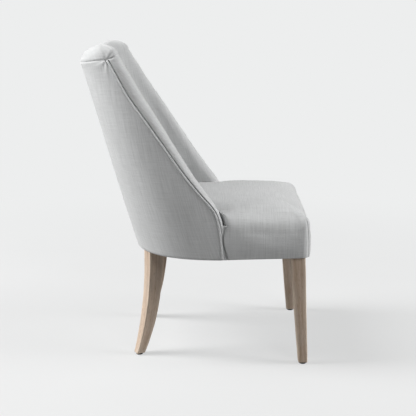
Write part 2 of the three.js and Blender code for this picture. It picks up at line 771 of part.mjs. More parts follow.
add('back_lower_rail', curvedBoard({
	rows: lowerRailLevels.map((level) => ({ level })),
	outer: backFrameStart, inner: frameInner, start: postStart,
	from: (whole) => whole * postEndShare + seatGap, columns: 5,
}), ...pine);
backWebLevelShares.forEach((levels, index) => {
	add(`back_strap_${index + 1}`, curvedBoard({
		rows: levels.map((level) => ({ level })),
		outer: frameInner + seatGap, inner: frameInner + seatGap + backWebThickness,
		start: postStart, from: (whole) => whole * (postStartShare + postEndShare) / 2, columns: 6,
	}), ...webbing);
});

// Upholstery
add('seat_cushion', seatGeometry(), ...linen);
add('inner_back_pad', padGeometry(), ...linen);
const coverFront = (level) => wingEdge(level) +
	(pipingRadius + pipingClearance) * edgeStretch(level);
add('outer_back_cover', curvedBoard({
	rows: rowShares.map((level) => ({ level, drop: level === 1 ? seatGap : 0 })),
	outer: 0, inner: coverThickness, start: coverFront, columns: 14,
}), ...linen);

// Piping between the outer cover and the inside pad
const pipingPoints = Array.from({ length: pipingSteps + 1 }, (_, step) => {
	const level = pipingTopShare * step / pipingSteps;
	const { x, y } = planPath(level, pipingSink, pipingSink, wingEdge(level))[0];
	return new THREE.Vector3(x, y, levelHeight(level, y));
});
const pipingSection = new THREE.Shape(Array.from({ length: pipingSides }, (_, step) => {
	const angle = degToRad(360 * step / pipingSides);
	return new THREE.Vector2(pipingRadius * Math.cos(angle), pipingRadius * Math.sin(angle));
}));
const piping = mergeVertices(new THREE.ExtrudeGeometry(pipingSection, {
	steps: pipingSteps, bevelEnabled: false,
	extrudePath: new THREE.CatmullRomCurve3(pipingPoints),
}));
add('piping_left', piping, ...linen);
add('piping_right', flip(piping), ...linen);

// The origin lies under the middle of the chair's length
const box = new THREE.Box3().setFromObject(group);
group.position.y = -(box.min.y + box.max.y) / 2;

export default group;
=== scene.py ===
import math

import bmesh
import bpy
import numpy as np
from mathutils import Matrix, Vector


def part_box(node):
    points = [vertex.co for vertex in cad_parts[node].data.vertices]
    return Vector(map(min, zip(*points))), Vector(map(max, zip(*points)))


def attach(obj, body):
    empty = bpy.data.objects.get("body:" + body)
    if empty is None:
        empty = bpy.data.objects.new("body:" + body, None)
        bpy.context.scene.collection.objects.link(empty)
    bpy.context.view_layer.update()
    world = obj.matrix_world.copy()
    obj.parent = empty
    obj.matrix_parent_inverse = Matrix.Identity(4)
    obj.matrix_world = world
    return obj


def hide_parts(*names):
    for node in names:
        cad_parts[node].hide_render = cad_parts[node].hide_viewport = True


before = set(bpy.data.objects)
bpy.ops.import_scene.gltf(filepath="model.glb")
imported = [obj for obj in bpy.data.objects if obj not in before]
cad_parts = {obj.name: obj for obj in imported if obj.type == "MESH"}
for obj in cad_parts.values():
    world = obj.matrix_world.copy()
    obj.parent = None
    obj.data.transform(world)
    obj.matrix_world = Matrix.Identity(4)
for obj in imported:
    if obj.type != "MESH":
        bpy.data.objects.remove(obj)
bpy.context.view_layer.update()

# Upholstered dining chair: linen over foam and a wooden frame, on four oak legs.
# Metres. The chair faces -Y, and the sitter's left is +X.
leftAndRight = (("left", 1), ("right", -1))
print("frame loaded:", len(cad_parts), "nodes")


# Numbers and curves

def mix(start, end, share):
    return start + (end - start) * share


def ease(value, low, high):
    share = np.clip((value - low) / (high - low), 0, 1)
    return share * share * (3 - 2 * share)


def bump(value, middle, width):
    return np.exp(-(((value - middle) / width) ** 2))


def smoothTable(table, value):
    # Cubic curve through a short table, with the slope at each row taken from its neighbours
    places, heights = np.array(table, float).T
    last = len(places) - 1
    after = np.minimum(np.arange(last + 1) + 1, last)
    before = np.maximum(np.arange(last + 1) - 1, 0)
    slopes = (heights[after] - heights[before]) / (places[after] - places[before])
    row = np.clip(np.searchsorted(places, value) - 1, 0, last - 1)
    span = places[row + 1] - places[row]
    t = np.clip((value - places[row]) / span, 0, 1)
    return (heights[row] * (1 + 2 * t) * (1 - t) ** 2 + heights[row + 1] * t * t * (3 - 2 * t)
            + span * (slopes[row] * t * (1 - t) ** 2 + slopes[row + 1] * t * t * (t - 1)))


def lengthsAlong(points):
    return np.concatenate([[0], np.cumsum(np.linalg.norm(np.diff(points, axis=0), axis=1))])


def alongCurve(curve, shares):
    # Points at shares of a curve's length
    lengths = lengthsAlong(curve)
    places = np.asarray(shares) * lengths[-1]
    return np.stack([np.interp(places, lengths, column) for column in curve.T], axis=1)


def evenShares(count):
    return np.linspace(0, 1, count + 1)


def quarterTurn(count):
    return np.linspace(0, math.pi / 2, count)


def unitVectors(vectors):
    return vectors / np.linalg.norm(vectors, axis=1)[:, None]


def turnedBy(angle):
    return np.array([[math.cos(angle), -math.sin(angle)], [math.sin(angle), math.cos(angle)]])


def mirrored(points):
    return points * np.array([-1] + [1] * (points.shape[1] - 1))


def bothSides(half, flip=np.asarray):
    # A line and its mirror image, from one end through the middle to the other end
    return np.concatenate([half, flip(half)[::-1][1:]])


def ringOf(outer, inner, flip=np.asarray):
    # A closed ring from its outer and inner halves and their mirror images
    return np.concatenate([bothSides(outer, flip), flip(inner)[1:], inner[::-1][1:-1]])


def wholeLoop(front, flank, rear):
    # From the front corner on the sitter's right, along the front to the left and round
    return np.concatenate([
        mirrored(front)[::-1], front[1:], flank[1:], rear[1:],
        mirrored(rear)[::-1][1:], mirrored(flank)[::-1][1:-1]])


def unevenness(along, spacing, seed):
    # An irregular wave from 0 to 1 for puckers along a seam
    phases = np.random.default_rng(seed).uniform(0, 2 * math.pi, 4)
    waves = zip((1, 0.61, 1.7, 2.9), (0.4, 0.25, 0.2, 0.15), phases)
    wave = sum(np.sin(2 * math.pi * along / (spacing * stretch) + phase) * share
               for stretch, share, phase in waves)
    return 0.5 + 0.5 * wave


# Meshes

def gridFaces(rows, columns, closed=False):
    across = columns if closed else columns - 1
    row, column = np.meshgrid(np.arange(rows - 1), np.arange(across), indexing="ij")
    after = (column + 1) % columns
    corners = [row * columns + column, row * columns + after,
               (row + 1) * columns + after, (row + 1) * columns + column]
    return np.stack(corners, axis=-1).reshape(-1, 4)


def tubeFaces(rings, sides):
    # A closed tube's sides and its two ends
    faces = [tuple(face) for face in gridFaces(rings, sides, closed=True)]
    last = (rings - 1) * sides
    return faces + [tuple(range(sides)), tuple(range(last, last + sides))]


def cellsOf(index):
    corners = [index[:-1, :-1], index[1:, :-1], index[1:, 1:], index[:-1, 1:]]
    return np.stack(corners, -1).reshape(-1, 4)


def newMesh(name, points, faces, edges=()):
    mesh = bpy.data.meshes.new(name)
    mesh.from_pydata(np.asarray(points).tolist(), edges, [list(map(int, face)) for face in faces])
    return mesh


def turnOutwards(mesh, weld=0.0):
    shape = bmesh.new()
    shape.from_mesh(mesh)
    if weld:
        bmesh.ops.remove_doubles(shape, verts=shape.verts, dist=weld)
    bmesh.ops.recalc_face_normals(shape, faces=shape.faces)
    shape.to_mesh(mesh)
    shape.free()


def addObject(name, data):
    made = bpy.data.objects.new(name, data)
    bpy.context.scene.collection.objects.link(made)
    return made


def makePiece(name, points, faces, material, weld=0.0, **fields):
    # fields are values for each point that the piece's material reads
    mesh = newMesh(name, points, faces)
    for field, values in fields.items():
        values = np.asarray(values, np.float32)
        kind = "FLOAT_VECTOR" if values.ndim == 2 else "FLOAT"
        attribute = mesh.attributes.new(field, kind, "POINT")
        attribute.data.foreach_set("vector" if values.ndim == 2 else "value", values.ravel())
    turnOutwards(mesh, weld)
    mesh.shade_smooth()
    mesh.materials.append(material)
    piece = addObject(name, mesh)
    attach(piece, "root")
    return piece


def faceTowards(mesh, direction, face=None):
    # An open sheet may face either way: this face, or its middle one, has to face this way
    face = mesh.polygons[len(mesh.polygons) // 2 if face is None else face]
    if face.normal.dot(Vector(direction)) < 0:
        mesh.flip_normals()


def pointsOf(mesh):
    flat = np.zeros(len(mesh.vertices) * 3, np.float32)
    mesh.vertices.foreach_get("co", flat)
    return flat.reshape(-1, 3).astype(float)


def normalsOf(mesh):
    flat = np.zeros(len(mesh.vertices) * 3, np.float32)
    mesh.vertex_normals.foreach_get("vector", flat)
    return flat.reshape(-1, 3).astype(float)


def fieldOf(mesh, name):
    flat = np.zeros(len(mesh.vertices), np.float32)
    mesh.attributes[name].data.foreach_get("value", flat)
    return flat.astype(float)


def dropFields(mesh, *names):
    for name in names:
        mesh.attributes.remove(mesh.attributes[name])


def movePoints(mesh, points):
    mesh.vertices.foreach_set("co", points.astype(np.float32).ravel())
    mesh.update()


def subdivide(piece):
    modifier = piece.modifiers.new("smooth", "SUBSURF")
    modifier.levels = modifier.render_levels = 1


def thicken(piece, thickness):
    # The cloth's thickness goes inwards, so the shown side stays where it is
    modifier = piece.modifiers.new("thickness", "SOLIDIFY")
    modifier.thickness = thickness
    modifier.offset = -1


def smoothedOver(mesh, values, held, rounds):
    # Averages a value with those of the points next to it
    ends = np.zeros(len(mesh.edges) * 2, np.int32)
    mesh.edges.foreach_get("vertices", ends)
    first, second = ends.reshape(-1, 2).T
    near = np.zeros(len(values))
    np.add.at(near, first, 1)
    np.add.at(near, second, 1)
    for _ in range(rounds):
        total = np.zeros_like(values)
        np.add.at(total, first, values[second])
        np.add.at(total, second, values[first])
        values = 0.5 * values + 0.5 * total / np.maximum(near, 1)[:, None]
        values[held] = 0
    return values


# How linen over foam behaves as cloth
linenCloth = {"quality": 4, "mass": 0.3, "tension_stiffness": 30, "compression_stiffness": 30,
              "shear_stiffness": 10, "bending_stiffness": 0.4, "use_pressure": True}


def puffUp(piece, pressure, frames, reach, keep, smoothing=8):
    # The closed cover swells under pressure, but for its points whose field says that they
    # are held. The mean swelling is taken off again, so the piece keeps its size and gains
    # its creases and fullness.
    mesh = piece.data
    held = fieldOf(mesh, "held") > 0.5
    start, normals = pointsOf(mesh), normalsOf(mesh)
    group = piece.vertex_groups.new(name="held")
    group.add(np.nonzero(held)[0].tolist(), 1.0, "REPLACE")
    cloth = piece.modifiers.new("cloth", "CLOTH")
    for name, value in linenCloth.items():
        setattr(cloth.settings, name, value)
    cloth.settings.uniform_pressure_force = pressure
    cloth.settings.vertex_group_mass = "held"
    cloth.settings.effector_weights.gravity = 0
    cloth.collision_settings.use_collision = False
    cloth.point_cache.frame_start = 1
    cloth.point_cache.frame_end = frames
    for step in range(1, frames + 1):
        bpy.context.scene.frame_set(step)
    evaluated = piece.evaluated_get(bpy.context.evaluated_depsgraph_get())
    moved = pointsOf(evaluated.data) - start
    piece.modifiers.remove(cloth)
    piece.vertex_groups.remove(group)
    bpy.context.scene.frame_set(1)
    distance = np.linalg.norm(moved, axis=1)
    moved *= (np.minimum(distance, reach) / np.maximum(distance, 1e-9))[:, None]
    moved = smoothedOver(mesh, moved, held, smoothing)
    outward = (moved * normals).sum(axis=1)
    mean = outward[~held].mean()
    print("  swelling of", piece.name, "mm: most", round(distance.max() * 1000, 1),
          "mean", round(mean * 1000, 2))
    taken = mean * ease(outward, 0, mean + 1e-6)
    movePoints(mesh, start + moved * keep - normals * (taken * keep)[:, None])


# Materials

def linearColour(code):
    # sRGB hex to the linear numbers that shaders take
    parts = [int(code[place:place + 2], 16) / 255 for place in (1, 3, 5)]
    return tuple(part / 12.92 if part <= 0.04045 else ((part + 0.055) / 1.055) ** 2.4
                 for part in parts) + (1,)


def addNode(tree, kind, sockets=None, **settings):
    node = tree.nodes.new(kind)
    for name, value in settings.items():
        setattr(node, name, value)
    for name, value in (sockets or {}).items():
        if isinstance(value, bpy.types.NodeSocket):
            tree.links.new(value, node.inputs[name])
        else:
            node.inputs[name].default_value = value
    return node


def newMaterial(name):
    material = bpy.data.materials.new(name)
    material.use_nodes = True
    material.node_tree.nodes.clear()
    return material, material.node_tree


def readField(tree, name, socket="Vector"):
    return addNode(tree, "ShaderNodeAttribute", attribute_name=name).outputs[socket]


def objectPlace(tree):
    return addNode(tree, "ShaderNodeTexCoord").outputs["Object"]


def stretchedNoise(tree, coordinates, sizes, detail, roughness):
    # Noise whose features have these lengths in metres along x, y and z
    scaled = addNode(tree, "ShaderNodeMapping",
                     {"Vector": coordinates, "Scale": [1 / size for size in sizes]})
    noise = addNode(tree, "ShaderNodeTexNoise",
                    {"Vector": scaled.outputs["Vector"], "Scale": 1.0, "Detail": detail,
                     "Roughness": roughness})
    return noise.outputs["Fac"]


def calculate(tree, operation, first, second=0.0, third=0.0):
    node = addNode(tree, "ShaderNodeMath", {0: first, 1: second, 2: third}, operation=operation)
    return node.outputs["Value"]


def spreadOut(tree, value, low, high, toLow=0.0, toHigh=1.0):
    node = addNode(tree, "ShaderNodeMapRange",
                   {"Value": value, "From Min": low, "From Max": high,
                    "To Min": toLow, "To Max": toHigh}, interpolation_type="SMOOTHSTEP")
    return node.outputs["Result"]


def blendColours(tree, share, first, second):
    given = {0: share}
    for place, colour in ((6, first), (7, second)):
        given[place] = linearColour(colour) if isinstance(colour, str) else colour
    return addNode(tree, "ShaderNodeMix", given, data_type="RGBA").outputs[2]


def makeMaterial(name, look, addSources=None):
    # Reads the look's noises in the piece's own space or in one of its fields, then lays
    # each layer's tint over the base colour, as far as the layer's source is high
    material, tree = newMaterial(name)
    place = readField(tree, look["field"]) if "field" in look else objectPlace(tree)
    found = {noise: stretchedNoise(tree, place, *values)
             for noise, values in look["noises"].items()}
    if addSources:
        found.update(addSources(tree, look, place, found))
    colour = look["base"]
    for source, *spread, tint in look["layers"]:
        share = spreadOut(tree, found[source], *spread) if spread else found[source]
        colour = blendColours(tree, share, colour, look[tint])
    roughness = look["roughness"]
    if isinstance(roughness, tuple):
        roughness = spreadOut(tree, found[roughness[0]], *roughness[1:])
    source, depth, strength = look["relief"]
    relief = addNode(tree, "ShaderNodeBump",
                     {"Height": found[source], "Distance": depth, "Strength": strength})
    shader = addNode(tree, "ShaderNodeBsdfPrincipled", {
        "Base Color": colour, "Roughness": roughness, "Normal": relief.outputs["Normal"],
        **look["sockets"]})
    addNode(tree, "ShaderNodeOutputMaterial", {"Surface": shader.outputs["BSDF"]})
    return material


# Each look gives its noises as feature lengths in metres, detail and roughness, and its
# layers as source, low, high, least share, most share and tint, or as source and tint

# Plain woven linen blend: matt, with uneven slub yarns that show as fine streaks both
# ways. The threads are drawn about half as coarse again as real ones, so that they show.
linenLook = {
    "base": "#b3b4b4", "yarn": "#c4c5c5", "lightYarn": "#d1d2d2", "gap": "#a2a3a3",
    "field": "threads", "threadSpacing": 0.0014, "slubShare": 0.62, "fineShare": 0.55,
    "noises": {"slubs": ((0.085, 0.0032, 1), 3, 0.6), "crossSlubs": ((0.0032, 0.0595, 1), 3, 0.6),
               "fine": ((0.034, 0.0017, 1), 2, 0.5), "fineCross": ((0.0017, 0.0255, 1), 2, 0.5)},
    "mottle": ((0.09, 0.09, 0.09), 2, 0.5),
    # The last layer lightens the yarns: real wear, and on the inside pad a painted highlight along
    # its crests
    "layers": [("streaks", 0.36, 0.64, "lightYarn"), ("hair", 0.38, 0.6, 0.1, 0.75, "yarn"),
               ("weave", 0.0, 0.45, 0.22, 0.0, "gap"), ("mottle", 0.35, 0.7, 0.0, 0.12, "gap"),
               ("wornAndHighlighted", "lightYarn")],
    "wearAndHighlight": (0.4, 0.6, 0.1, 0.35), "weaveHeight": 0.35, "hairHeight": 0.6,
    "roughness": 0.9, "relief": ("height", 0.0007, 0.55),
    "sockets": {"Sheen Weight": 0.22, "Sheen Roughness": 0.5, "Specular IOR Level": 0.22},
}


def linenSources(tree, look, threads, found):
    def mixed(first, second, share):
        return calculate(tree, "ADD", calculate(tree, "MULTIPLY", found[first], share),
                         calculate(tree, "MULTIPLY", found[second], 1 - share))

    parts = addNode(tree, "ShaderNodeSeparateXYZ", {"Vector": threads})
    turns = [calculate(tree, "SINE", calculate(tree, "MULTIPLY", parts.outputs[axis],
                                               math.pi / look["threadSpacing"]))
             for axis in (0, 1)]
    weave = calculate(tree, "ABSOLUTE", calculate(tree, "MULTIPLY", *turns))
    streaks = mixed("slubs", "crossSlubs", look["slubShare"])
    hair = mixed("fine", "fineCross", look["fineShare"])
    # Real wear on the covers, seat, piping and tucks, and a painted highlight along the inside
    # pad's crests, both lighten the yarns here
    wornAndHighlighted = calculate(tree, "MULTIPLY", readField(tree, "rub", "Fac"),
                     spreadOut(tree, hair, *look["wearAndHighlight"]))
    yarns = calculate(tree, "ADD", streaks,
                      calculate(tree, "MULTIPLY", hair, look["hairHeight"]))
    height = calculate(tree, "ADD",
                       calculate(tree, "MULTIPLY", weave, look["weaveHeight"]), yarns)
    mottle = stretchedNoise(tree, objectPlace(tree), *look["mottle"])
    return {"streaks": streaks, "hair": hair, "weave": weave, "mottle": mottle,
            "wornAndHighlighted": wornAndHighlighted, "height": height}


# Weathered, limed oak: matt grey brown, with long straight grain, open dark pores and
# edges rubbed paler. Its coordinates follow the leg, so the grain bends with it.
oakLook = {
    "base": "#a08974", "pale": "#ccb9a6", "wood": "#b9a390", "greyWash": "#b3aaa1",
    "pore": "#7a6554", "rubbed": "#d2c2b0", "field": "grain",
    "noises": {"rings": ((0.011, 0.011, 0.42), 4, 0.6), "fibres": ((0.0016, 0.0016, 0.09), 3, 0.6),
               "pores": ((0.0008, 0.0008, 0.016), 1, 0.4), "wash": ((0.05, 0.05, 0.12), 3, 0.6)},
    "layers": [("rings", 0.36, 0.62, "pale"), ("fibres", 0.35, 0.65, 0.15, 0.8, "wood"),
               ("wash", 0.42, 0.7, 0.0, 0.4, "greyWash"), ("dark", "pore"), ("wornAndHighlighted", "rubbed")],
    "dark": (0.58, 0.7, 0.0, 0.55), "wearAndHighlight": (0.3, 0.6, 0.25, 0.75),
    "roughness": ("fibres", 0.3, 0.7, 0.58, 0.76), "relief": ("height", 0.0005, 0.5),
    "sockets": {"Specular IOR Level": 0.35},
}


def oakSources(tree, look, grain, found):
    dark = spreadOut(tree, found["pores"], *look["dark"])
    wornAndHighlighted = calculate(tree, "MULTIPLY", readField(tree, "rub", "Fac"),
                     spreadOut(tree, found["fibres"], *look["wearAndHighlight"]))
    return {"dark": dark, "wornAndHighlighted": wornAndHighlighted,
            "height": calculate(tree, "SUBTRACT", found["fibres"], dark)}


# Sawn pine: the hidden frame's raw wood, yellow, with brown latewood lines and saw marks
pineLook = {
    "base": "#d9bf94", "late": "#b98f5c", "knot": "#8a6238",
    "noises": {"rings": ((0.3, 0.21, 0.007), 3, 0.55), "knots": ((0.05, 0.05, 0.03), 2, 0.5),
               "marks": ((0.003, 0.003, 0.08), 1, 0.4)},
    "layers": [("rings", 0.42, 0.62, "late"), ("knots", 0.66, 0.74, 0.0, 0.7, "knot")],
    "roughness": ("marks", 0.3, 0.7, 0.7, 0.9), "relief": ("marks", 0.0004, 0.6),
    "sockets": {"Specular IOR Level": 0.3},
}

# Zinc plated steel: a bright grey metal, clouded, with a soft gloss
steelLook = {
    "base": "#b4b7b9", "dull": "#93979a", "noises": {"clouds": ((0.004, 0.004, 0.004), 2, 0.5)},
    "layers": [("clouds", 0.35, 0.65, "dull")],
    "roughness": ("clouds", 0.3, 0.7, 0.3, 0.48), "relief": ("clouds", 0.0001, 0.3),
    "sockets": {"Metallic": 1.0},
}

# Moulded nylon: black, satin, scuffed grey where it slides on the floor
nylonLook = {
    "base": "#1d1d1e", "scuffed": "#3c3b3a", "scuffHeight": (0.0005, 0.003, 1.0, 0.1),
    "scuffSpread": (0.45, 0.7), "noises": {"scuffs": ((0.006, 0.0012, 0.002), 3, 0.6)},
    "layers": [("low", "scuffed")],
    "roughness": ("scuffs", 0.3, 0.7, 0.38, 0.6), "relief": ("scuffs", 0.0001, 0.3),
    "sockets": {},
}


def nylonSources(tree, look, body, found):
    height = addNode(tree, "ShaderNodeSeparateXYZ", {"Vector": body}).outputs["Z"]
    return {"low": calculate(tree, "MULTIPLY", spreadOut(tree, height, *look["scuffHeight"]),
                             spreadOut(tree, found["scuffs"], *look["scuffSpread"]))}


# Jute and elastic webbing: coarse ribs across the strap and a dark stripe near each edge
webbingLook = {
    "base": "#7a7264", "weft": "#5d5549", "stripeTint": "#2c2a28", "field": "threads",
    "rib": 0.0022, "stripePlace": 0.36, "stripeHalf": 0.035,
    "noises": {"fibres": ((0.0015, 0.02, 1), 2, 0.6)},
    "layers": [("fibres", 0.3, 0.7, "weft"), ("stripe", "stripeTint")],
    "roughness": 0.92, "relief": ("height", 0.0005, 0.6),
    "sockets": {"Sheen Weight": 0.1, "Specular IOR Level": 0.2},
}


def webbingSources(tree, look, threads, found):
    parts = addNode(tree, "ShaderNodeSeparateXYZ", {"Vector": threads}).outputs
    ribs = calculate(tree, "SINE",
                     calculate(tree, "MULTIPLY", parts["X"], 2 * math.pi / look["rib"]))
    stripe = calculate(tree, "COMPARE", calculate(tree, "ABSOLUTE", parts["Y"]),
                       look["stripePlace"], look["stripeHalf"])
    return {"stripe": stripe, "height": calculate(tree, "ADD", ribs, found["fibres"])}


# Spun black lining cloth: thin and matt, with pressed dimples
liningLook = {
    "base": "#2a2a2c", "thread": "#3a3a3d", "dimple": 0.0026, "evenness": 0.25,
    "noises": {"fibres": ((0.012, 0.012, 0.012), 4, 0.7)},
    "layers": [("fibres", 0.35, 0.65, "thread")],
    "roughness": 0.95, "relief": ("dimples", 0.0004, 0.5),
    "sockets": {"Sheen Weight": 0.15, "Specular IOR Level": 0.15},
}


def liningSources(tree, look, body, found):
    dimples = addNode(tree, "ShaderNodeTexVoronoi", {
        "Vector": body, "Scale": 1 / look["dimple"], "Randomness": look["evenness"]})
    return {"dimples": dimples.outputs["Distance"]}


linen = makeMaterial("wovenLinen", linenLook, linenSources)
oak = makeMaterial("weatheredOak", oakLook, oakSources)
pine = makeMaterial("sawnPine", pineLook)
steel = makeMaterial("zincPlatedSteel", steelLook)
nylon = makeMaterial("mouldedNylon", nylonLook, nylonSources)
webbing = makeMaterial("ribbedWebbing", webbingLook, webbingSources)
lining = makeMaterial("spunLining", liningLook, liningSources)
print("materials made:", len(bpy.data.materials))


# Plan of the back: its outside at each level, from 0 at the lower edge to 1 at the top seam

backPlan = {
    "lowerEdge": 0.315, "seamRear": 0.867, "seamTilt": 0.19, "tiltGrowth": 3,
    "seamDropRear": 0.0048, "seamDropCorner": 0.0084,
    "halfWidthLow": 0.280, "halfWidthHigh": 0.198, "widthBow": 0.022,
    "rearLow": 0.173, "rearHigh": 0.337, "rearBow": 0.001,
    "shoulderLow": -0.098, "shoulderHigh": 0.190, "roundness": 2.5, "sideTaper": 0.033,
    "wingEdgeLow": -0.089, "wingEdgeHigh": 0.243, "slopeSpan": 0.02,
    "wingEdgeShares": [(0, 0), (0.077, 0.011), (0.15, 0.026), (0.204, 0.044), (0.24, 0.065),
                       (0.27, 0.098), (0.3, 0.143), (0.329, 0.19), (0.428, 0.33),
                       (0.568, 0.507), (0.682, 0.653), (0.796, 0.8), (0.913, 0.92), (1, 1)],
}
seatFront = -0.343
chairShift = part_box("seat_cushion")[0].y - seatFront


def levelAt(height):
    return (height - backPlan["lowerEdge"]) / (backPlan["seamRear"] - backPlan["lowerEdge"])


def backLines(level):
    # Half width, rear line and shoulder line of the plan at a level
    plan, bow = backPlan, 4 * level * (1 - level)
    half = mix(plan["halfWidthLow"], plan["halfWidthHigh"], level) + plan["widthBow"] * bow
    rear = mix(plan["rearLow"], plan["rearHigh"], level) + plan["rearBow"] * bow
    return half, rear, mix(plan["shoulderLow"], plan["shoulderHigh"], level)


def widthAt(level, sideDepth, rearDepth, y):
    half, rear, shoulder = backLines(level)
    reach = np.clip((y - shoulder) / (rear - rearDepth - shoulder), 0, 1)
    curve = np.sqrt(np.maximum(1 - reach ** backPlan["roundness"], 0))
    bent = (half - sideDepth) * curve ** (2 / backPlan["roundness"])
    straight = half - sideDepth - (shoulder - y) * backPlan["sideTaper"]
    return np.where(y < shoulder, straight, bent)


def planCurve(level, sideDepth, rearDepth, start, samples=500, straightSamples=40):
    # One side of the plan, from a start line to the middle of the rear
    half, rear, shoulder = backLines(level)
    turn = quarterTurn(samples)
    power = 2 / backPlan["roundness"]
    across = (half - sideDepth) * np.maximum(np.cos(turn), 0) ** power
    along = shoulder + (rear - rearDepth - shoulder) * np.sin(turn) ** power
    across[-1] = 0
    kept = along > start
    first = [[float(widthAt(level, sideDepth, rearDepth, start)), start]]
    if start < shoulder:
        straight = np.linspace(start, shoulder, straightSamples)[1:-1]
        first += [[float(widthAt(level, sideDepth, rearDepth, y)), y] for y in straight]
    return np.concatenate([first, np.stack([across, along], axis=1)[kept]])


def wingEdge(level):
    share = smoothTable(backPlan["wingEdgeShares"], level)
    return mix(backPlan["wingEdgeLow"], backPlan["wingEdgeHigh"], share)


def edgeStretch(level):
    # How much wider a band along the wing's edge is when it is measured level
    span = backPlan["slopeSpan"]
    below, above = np.maximum(level - span, 0), np.minimum(level + span, 1)
    height = (above - below) * (backPlan["seamRear"] - backPlan["lowerEdge"])
    return np.hypot(1, (wingEdge(above) - wingEdge(below)) / height)


def seamHeight(level, y):
    plan = backPlan
    straight = mix(plan["lowerEdge"], plan["seamRear"], level)
    return straight + (plan["rearHigh"] - y) * plan["seamTilt"] * level ** plan["tiltGrowth"]


def seamDrop(y):
    # The top seam hangs lower than the level at which the back ends, most at its corners
    forward = np.clip((backPlan["rearHigh"] - y) / (backPlan["rearHigh"] - wingEdge(1)), 0, 1)
    return mix(backPlan["seamDropRear"], backPlan["seamDropCorner"], forward ** 2)


def inPlace(points):
    # Chair coordinates to the frame's
    return points + np.array([0, chairShift, 0])


wingCorner = np.array([float(widthAt(1, 0, 0, wingEdge(1))), wingEdge(1),
                       seamHeight(1, wingEdge(1)) - backPlan["seamDropCorner"]])


# Each wave of the folds as its share, its count round the corner and its phase
foldReach = 0.014
foldWaves = [(0.6, 7, 0.6), (0.4, 12, 2.1)]


def cornerFolds(points, strength):
    # Folds that fan out from the corner where the piping meets the top seam
    offset = np.stack([np.abs(points[:, 0]), points[:, 1] - chairShift, points[:, 2]], axis=1)
    offset = offset - wingCorner
    distance = np.linalg.norm(offset, axis=1)
    angle = np.arctan2(offset[:, 2], offset[:, 1])
    waves = sum(share * np.sin(count * angle + phase) for share, count, phase in foldWaves)
    return strength * waves * (distance / foldReach) * np.exp(1 - distance / foldReach)


# Inside pad of the back and wings

padSizes = {
    "lowest": 0.372, "wingThickness": 0.058, "thicknessLow": 0.080, "thicknessHigh": 0.060,
    "crown": 0.007, "groove": 0.0056, "rollReach": 0.031, "rollInside": 0.030,
    "rollTip": 0.68, "rollSquare": 0.66, "roofClose": 0.5,
    "rollShares": [(0, 0), (0.12, 0), (0.14, 0.08), (0.165, 0.25), (0.2, 0.2), (0.24, 0.1),
                   (0.29, 0.18), (0.375, 0.4), (0.453, 0.53), (0.55, 0.66), (0.61, 0.74),
                   (0.686, 0.87), (0.78, 1), (0.9, 0.97), (1, 0.86)],
    "hiddenDepth": 0.027, "seamSink": 0.001, "lipRadius": 0.0024, "lipFade": 0.8,
    "lips": [(0.35, 0.75), (1.3, 1.1), (3, 1.3)], "lipEnd": 2,
    "crownFrom": 0.4, "crownFall": 0.3, "crownForward": 0.5, "blendColumns": (6, 1),
    # The crest width and the roof's crest on the next line place a painted highlight along the
    # roll's crest and over the roof's ridge
    "crestWidth": 0.35, "roofCrest": (1.57, 0.6), "threadRise": 0.57, "roofThreads": 0.03,
    "roofRise": [(0, 0.024), (0.03, 0.0292), (0.055, 0.0363), (0.074, 0.0385),
                 (0.094, 0.0332), (0.11, 0.0275), (0.13, 0.0255), (0.2, 0.025)],
    "rows": 70, "noseColumns": 14, "sideColumns": 56,
    "swelling": {"pressure": 1.0, "frames": 16, "reach": 0.008, "keep": 0.6},
    "puckerSpacing": 0.026, "puckerDepth": 0.0007, "puckerReach": 0.010,
    "puckerSlant": (1.1, 1.3), "cornerFold": 0.0016,
}
roofTurns = np.radians([0, 2, 4.4, 7.5, 11.5, 17, 24, 32, 40, 48, 56, 64, 72, 79, 85, 90])


def rollTip(level):
    # How far back the roll's seam is and how far forward its tip, at a level
    edge, groove = float(wingEdge(level)), padSizes["groove"] * float(edgeStretch(level))
    roll = padSizes["rollReach"] * float(smoothTable(padSizes["rollShares"], level))
    return edge, groove, groove + roll


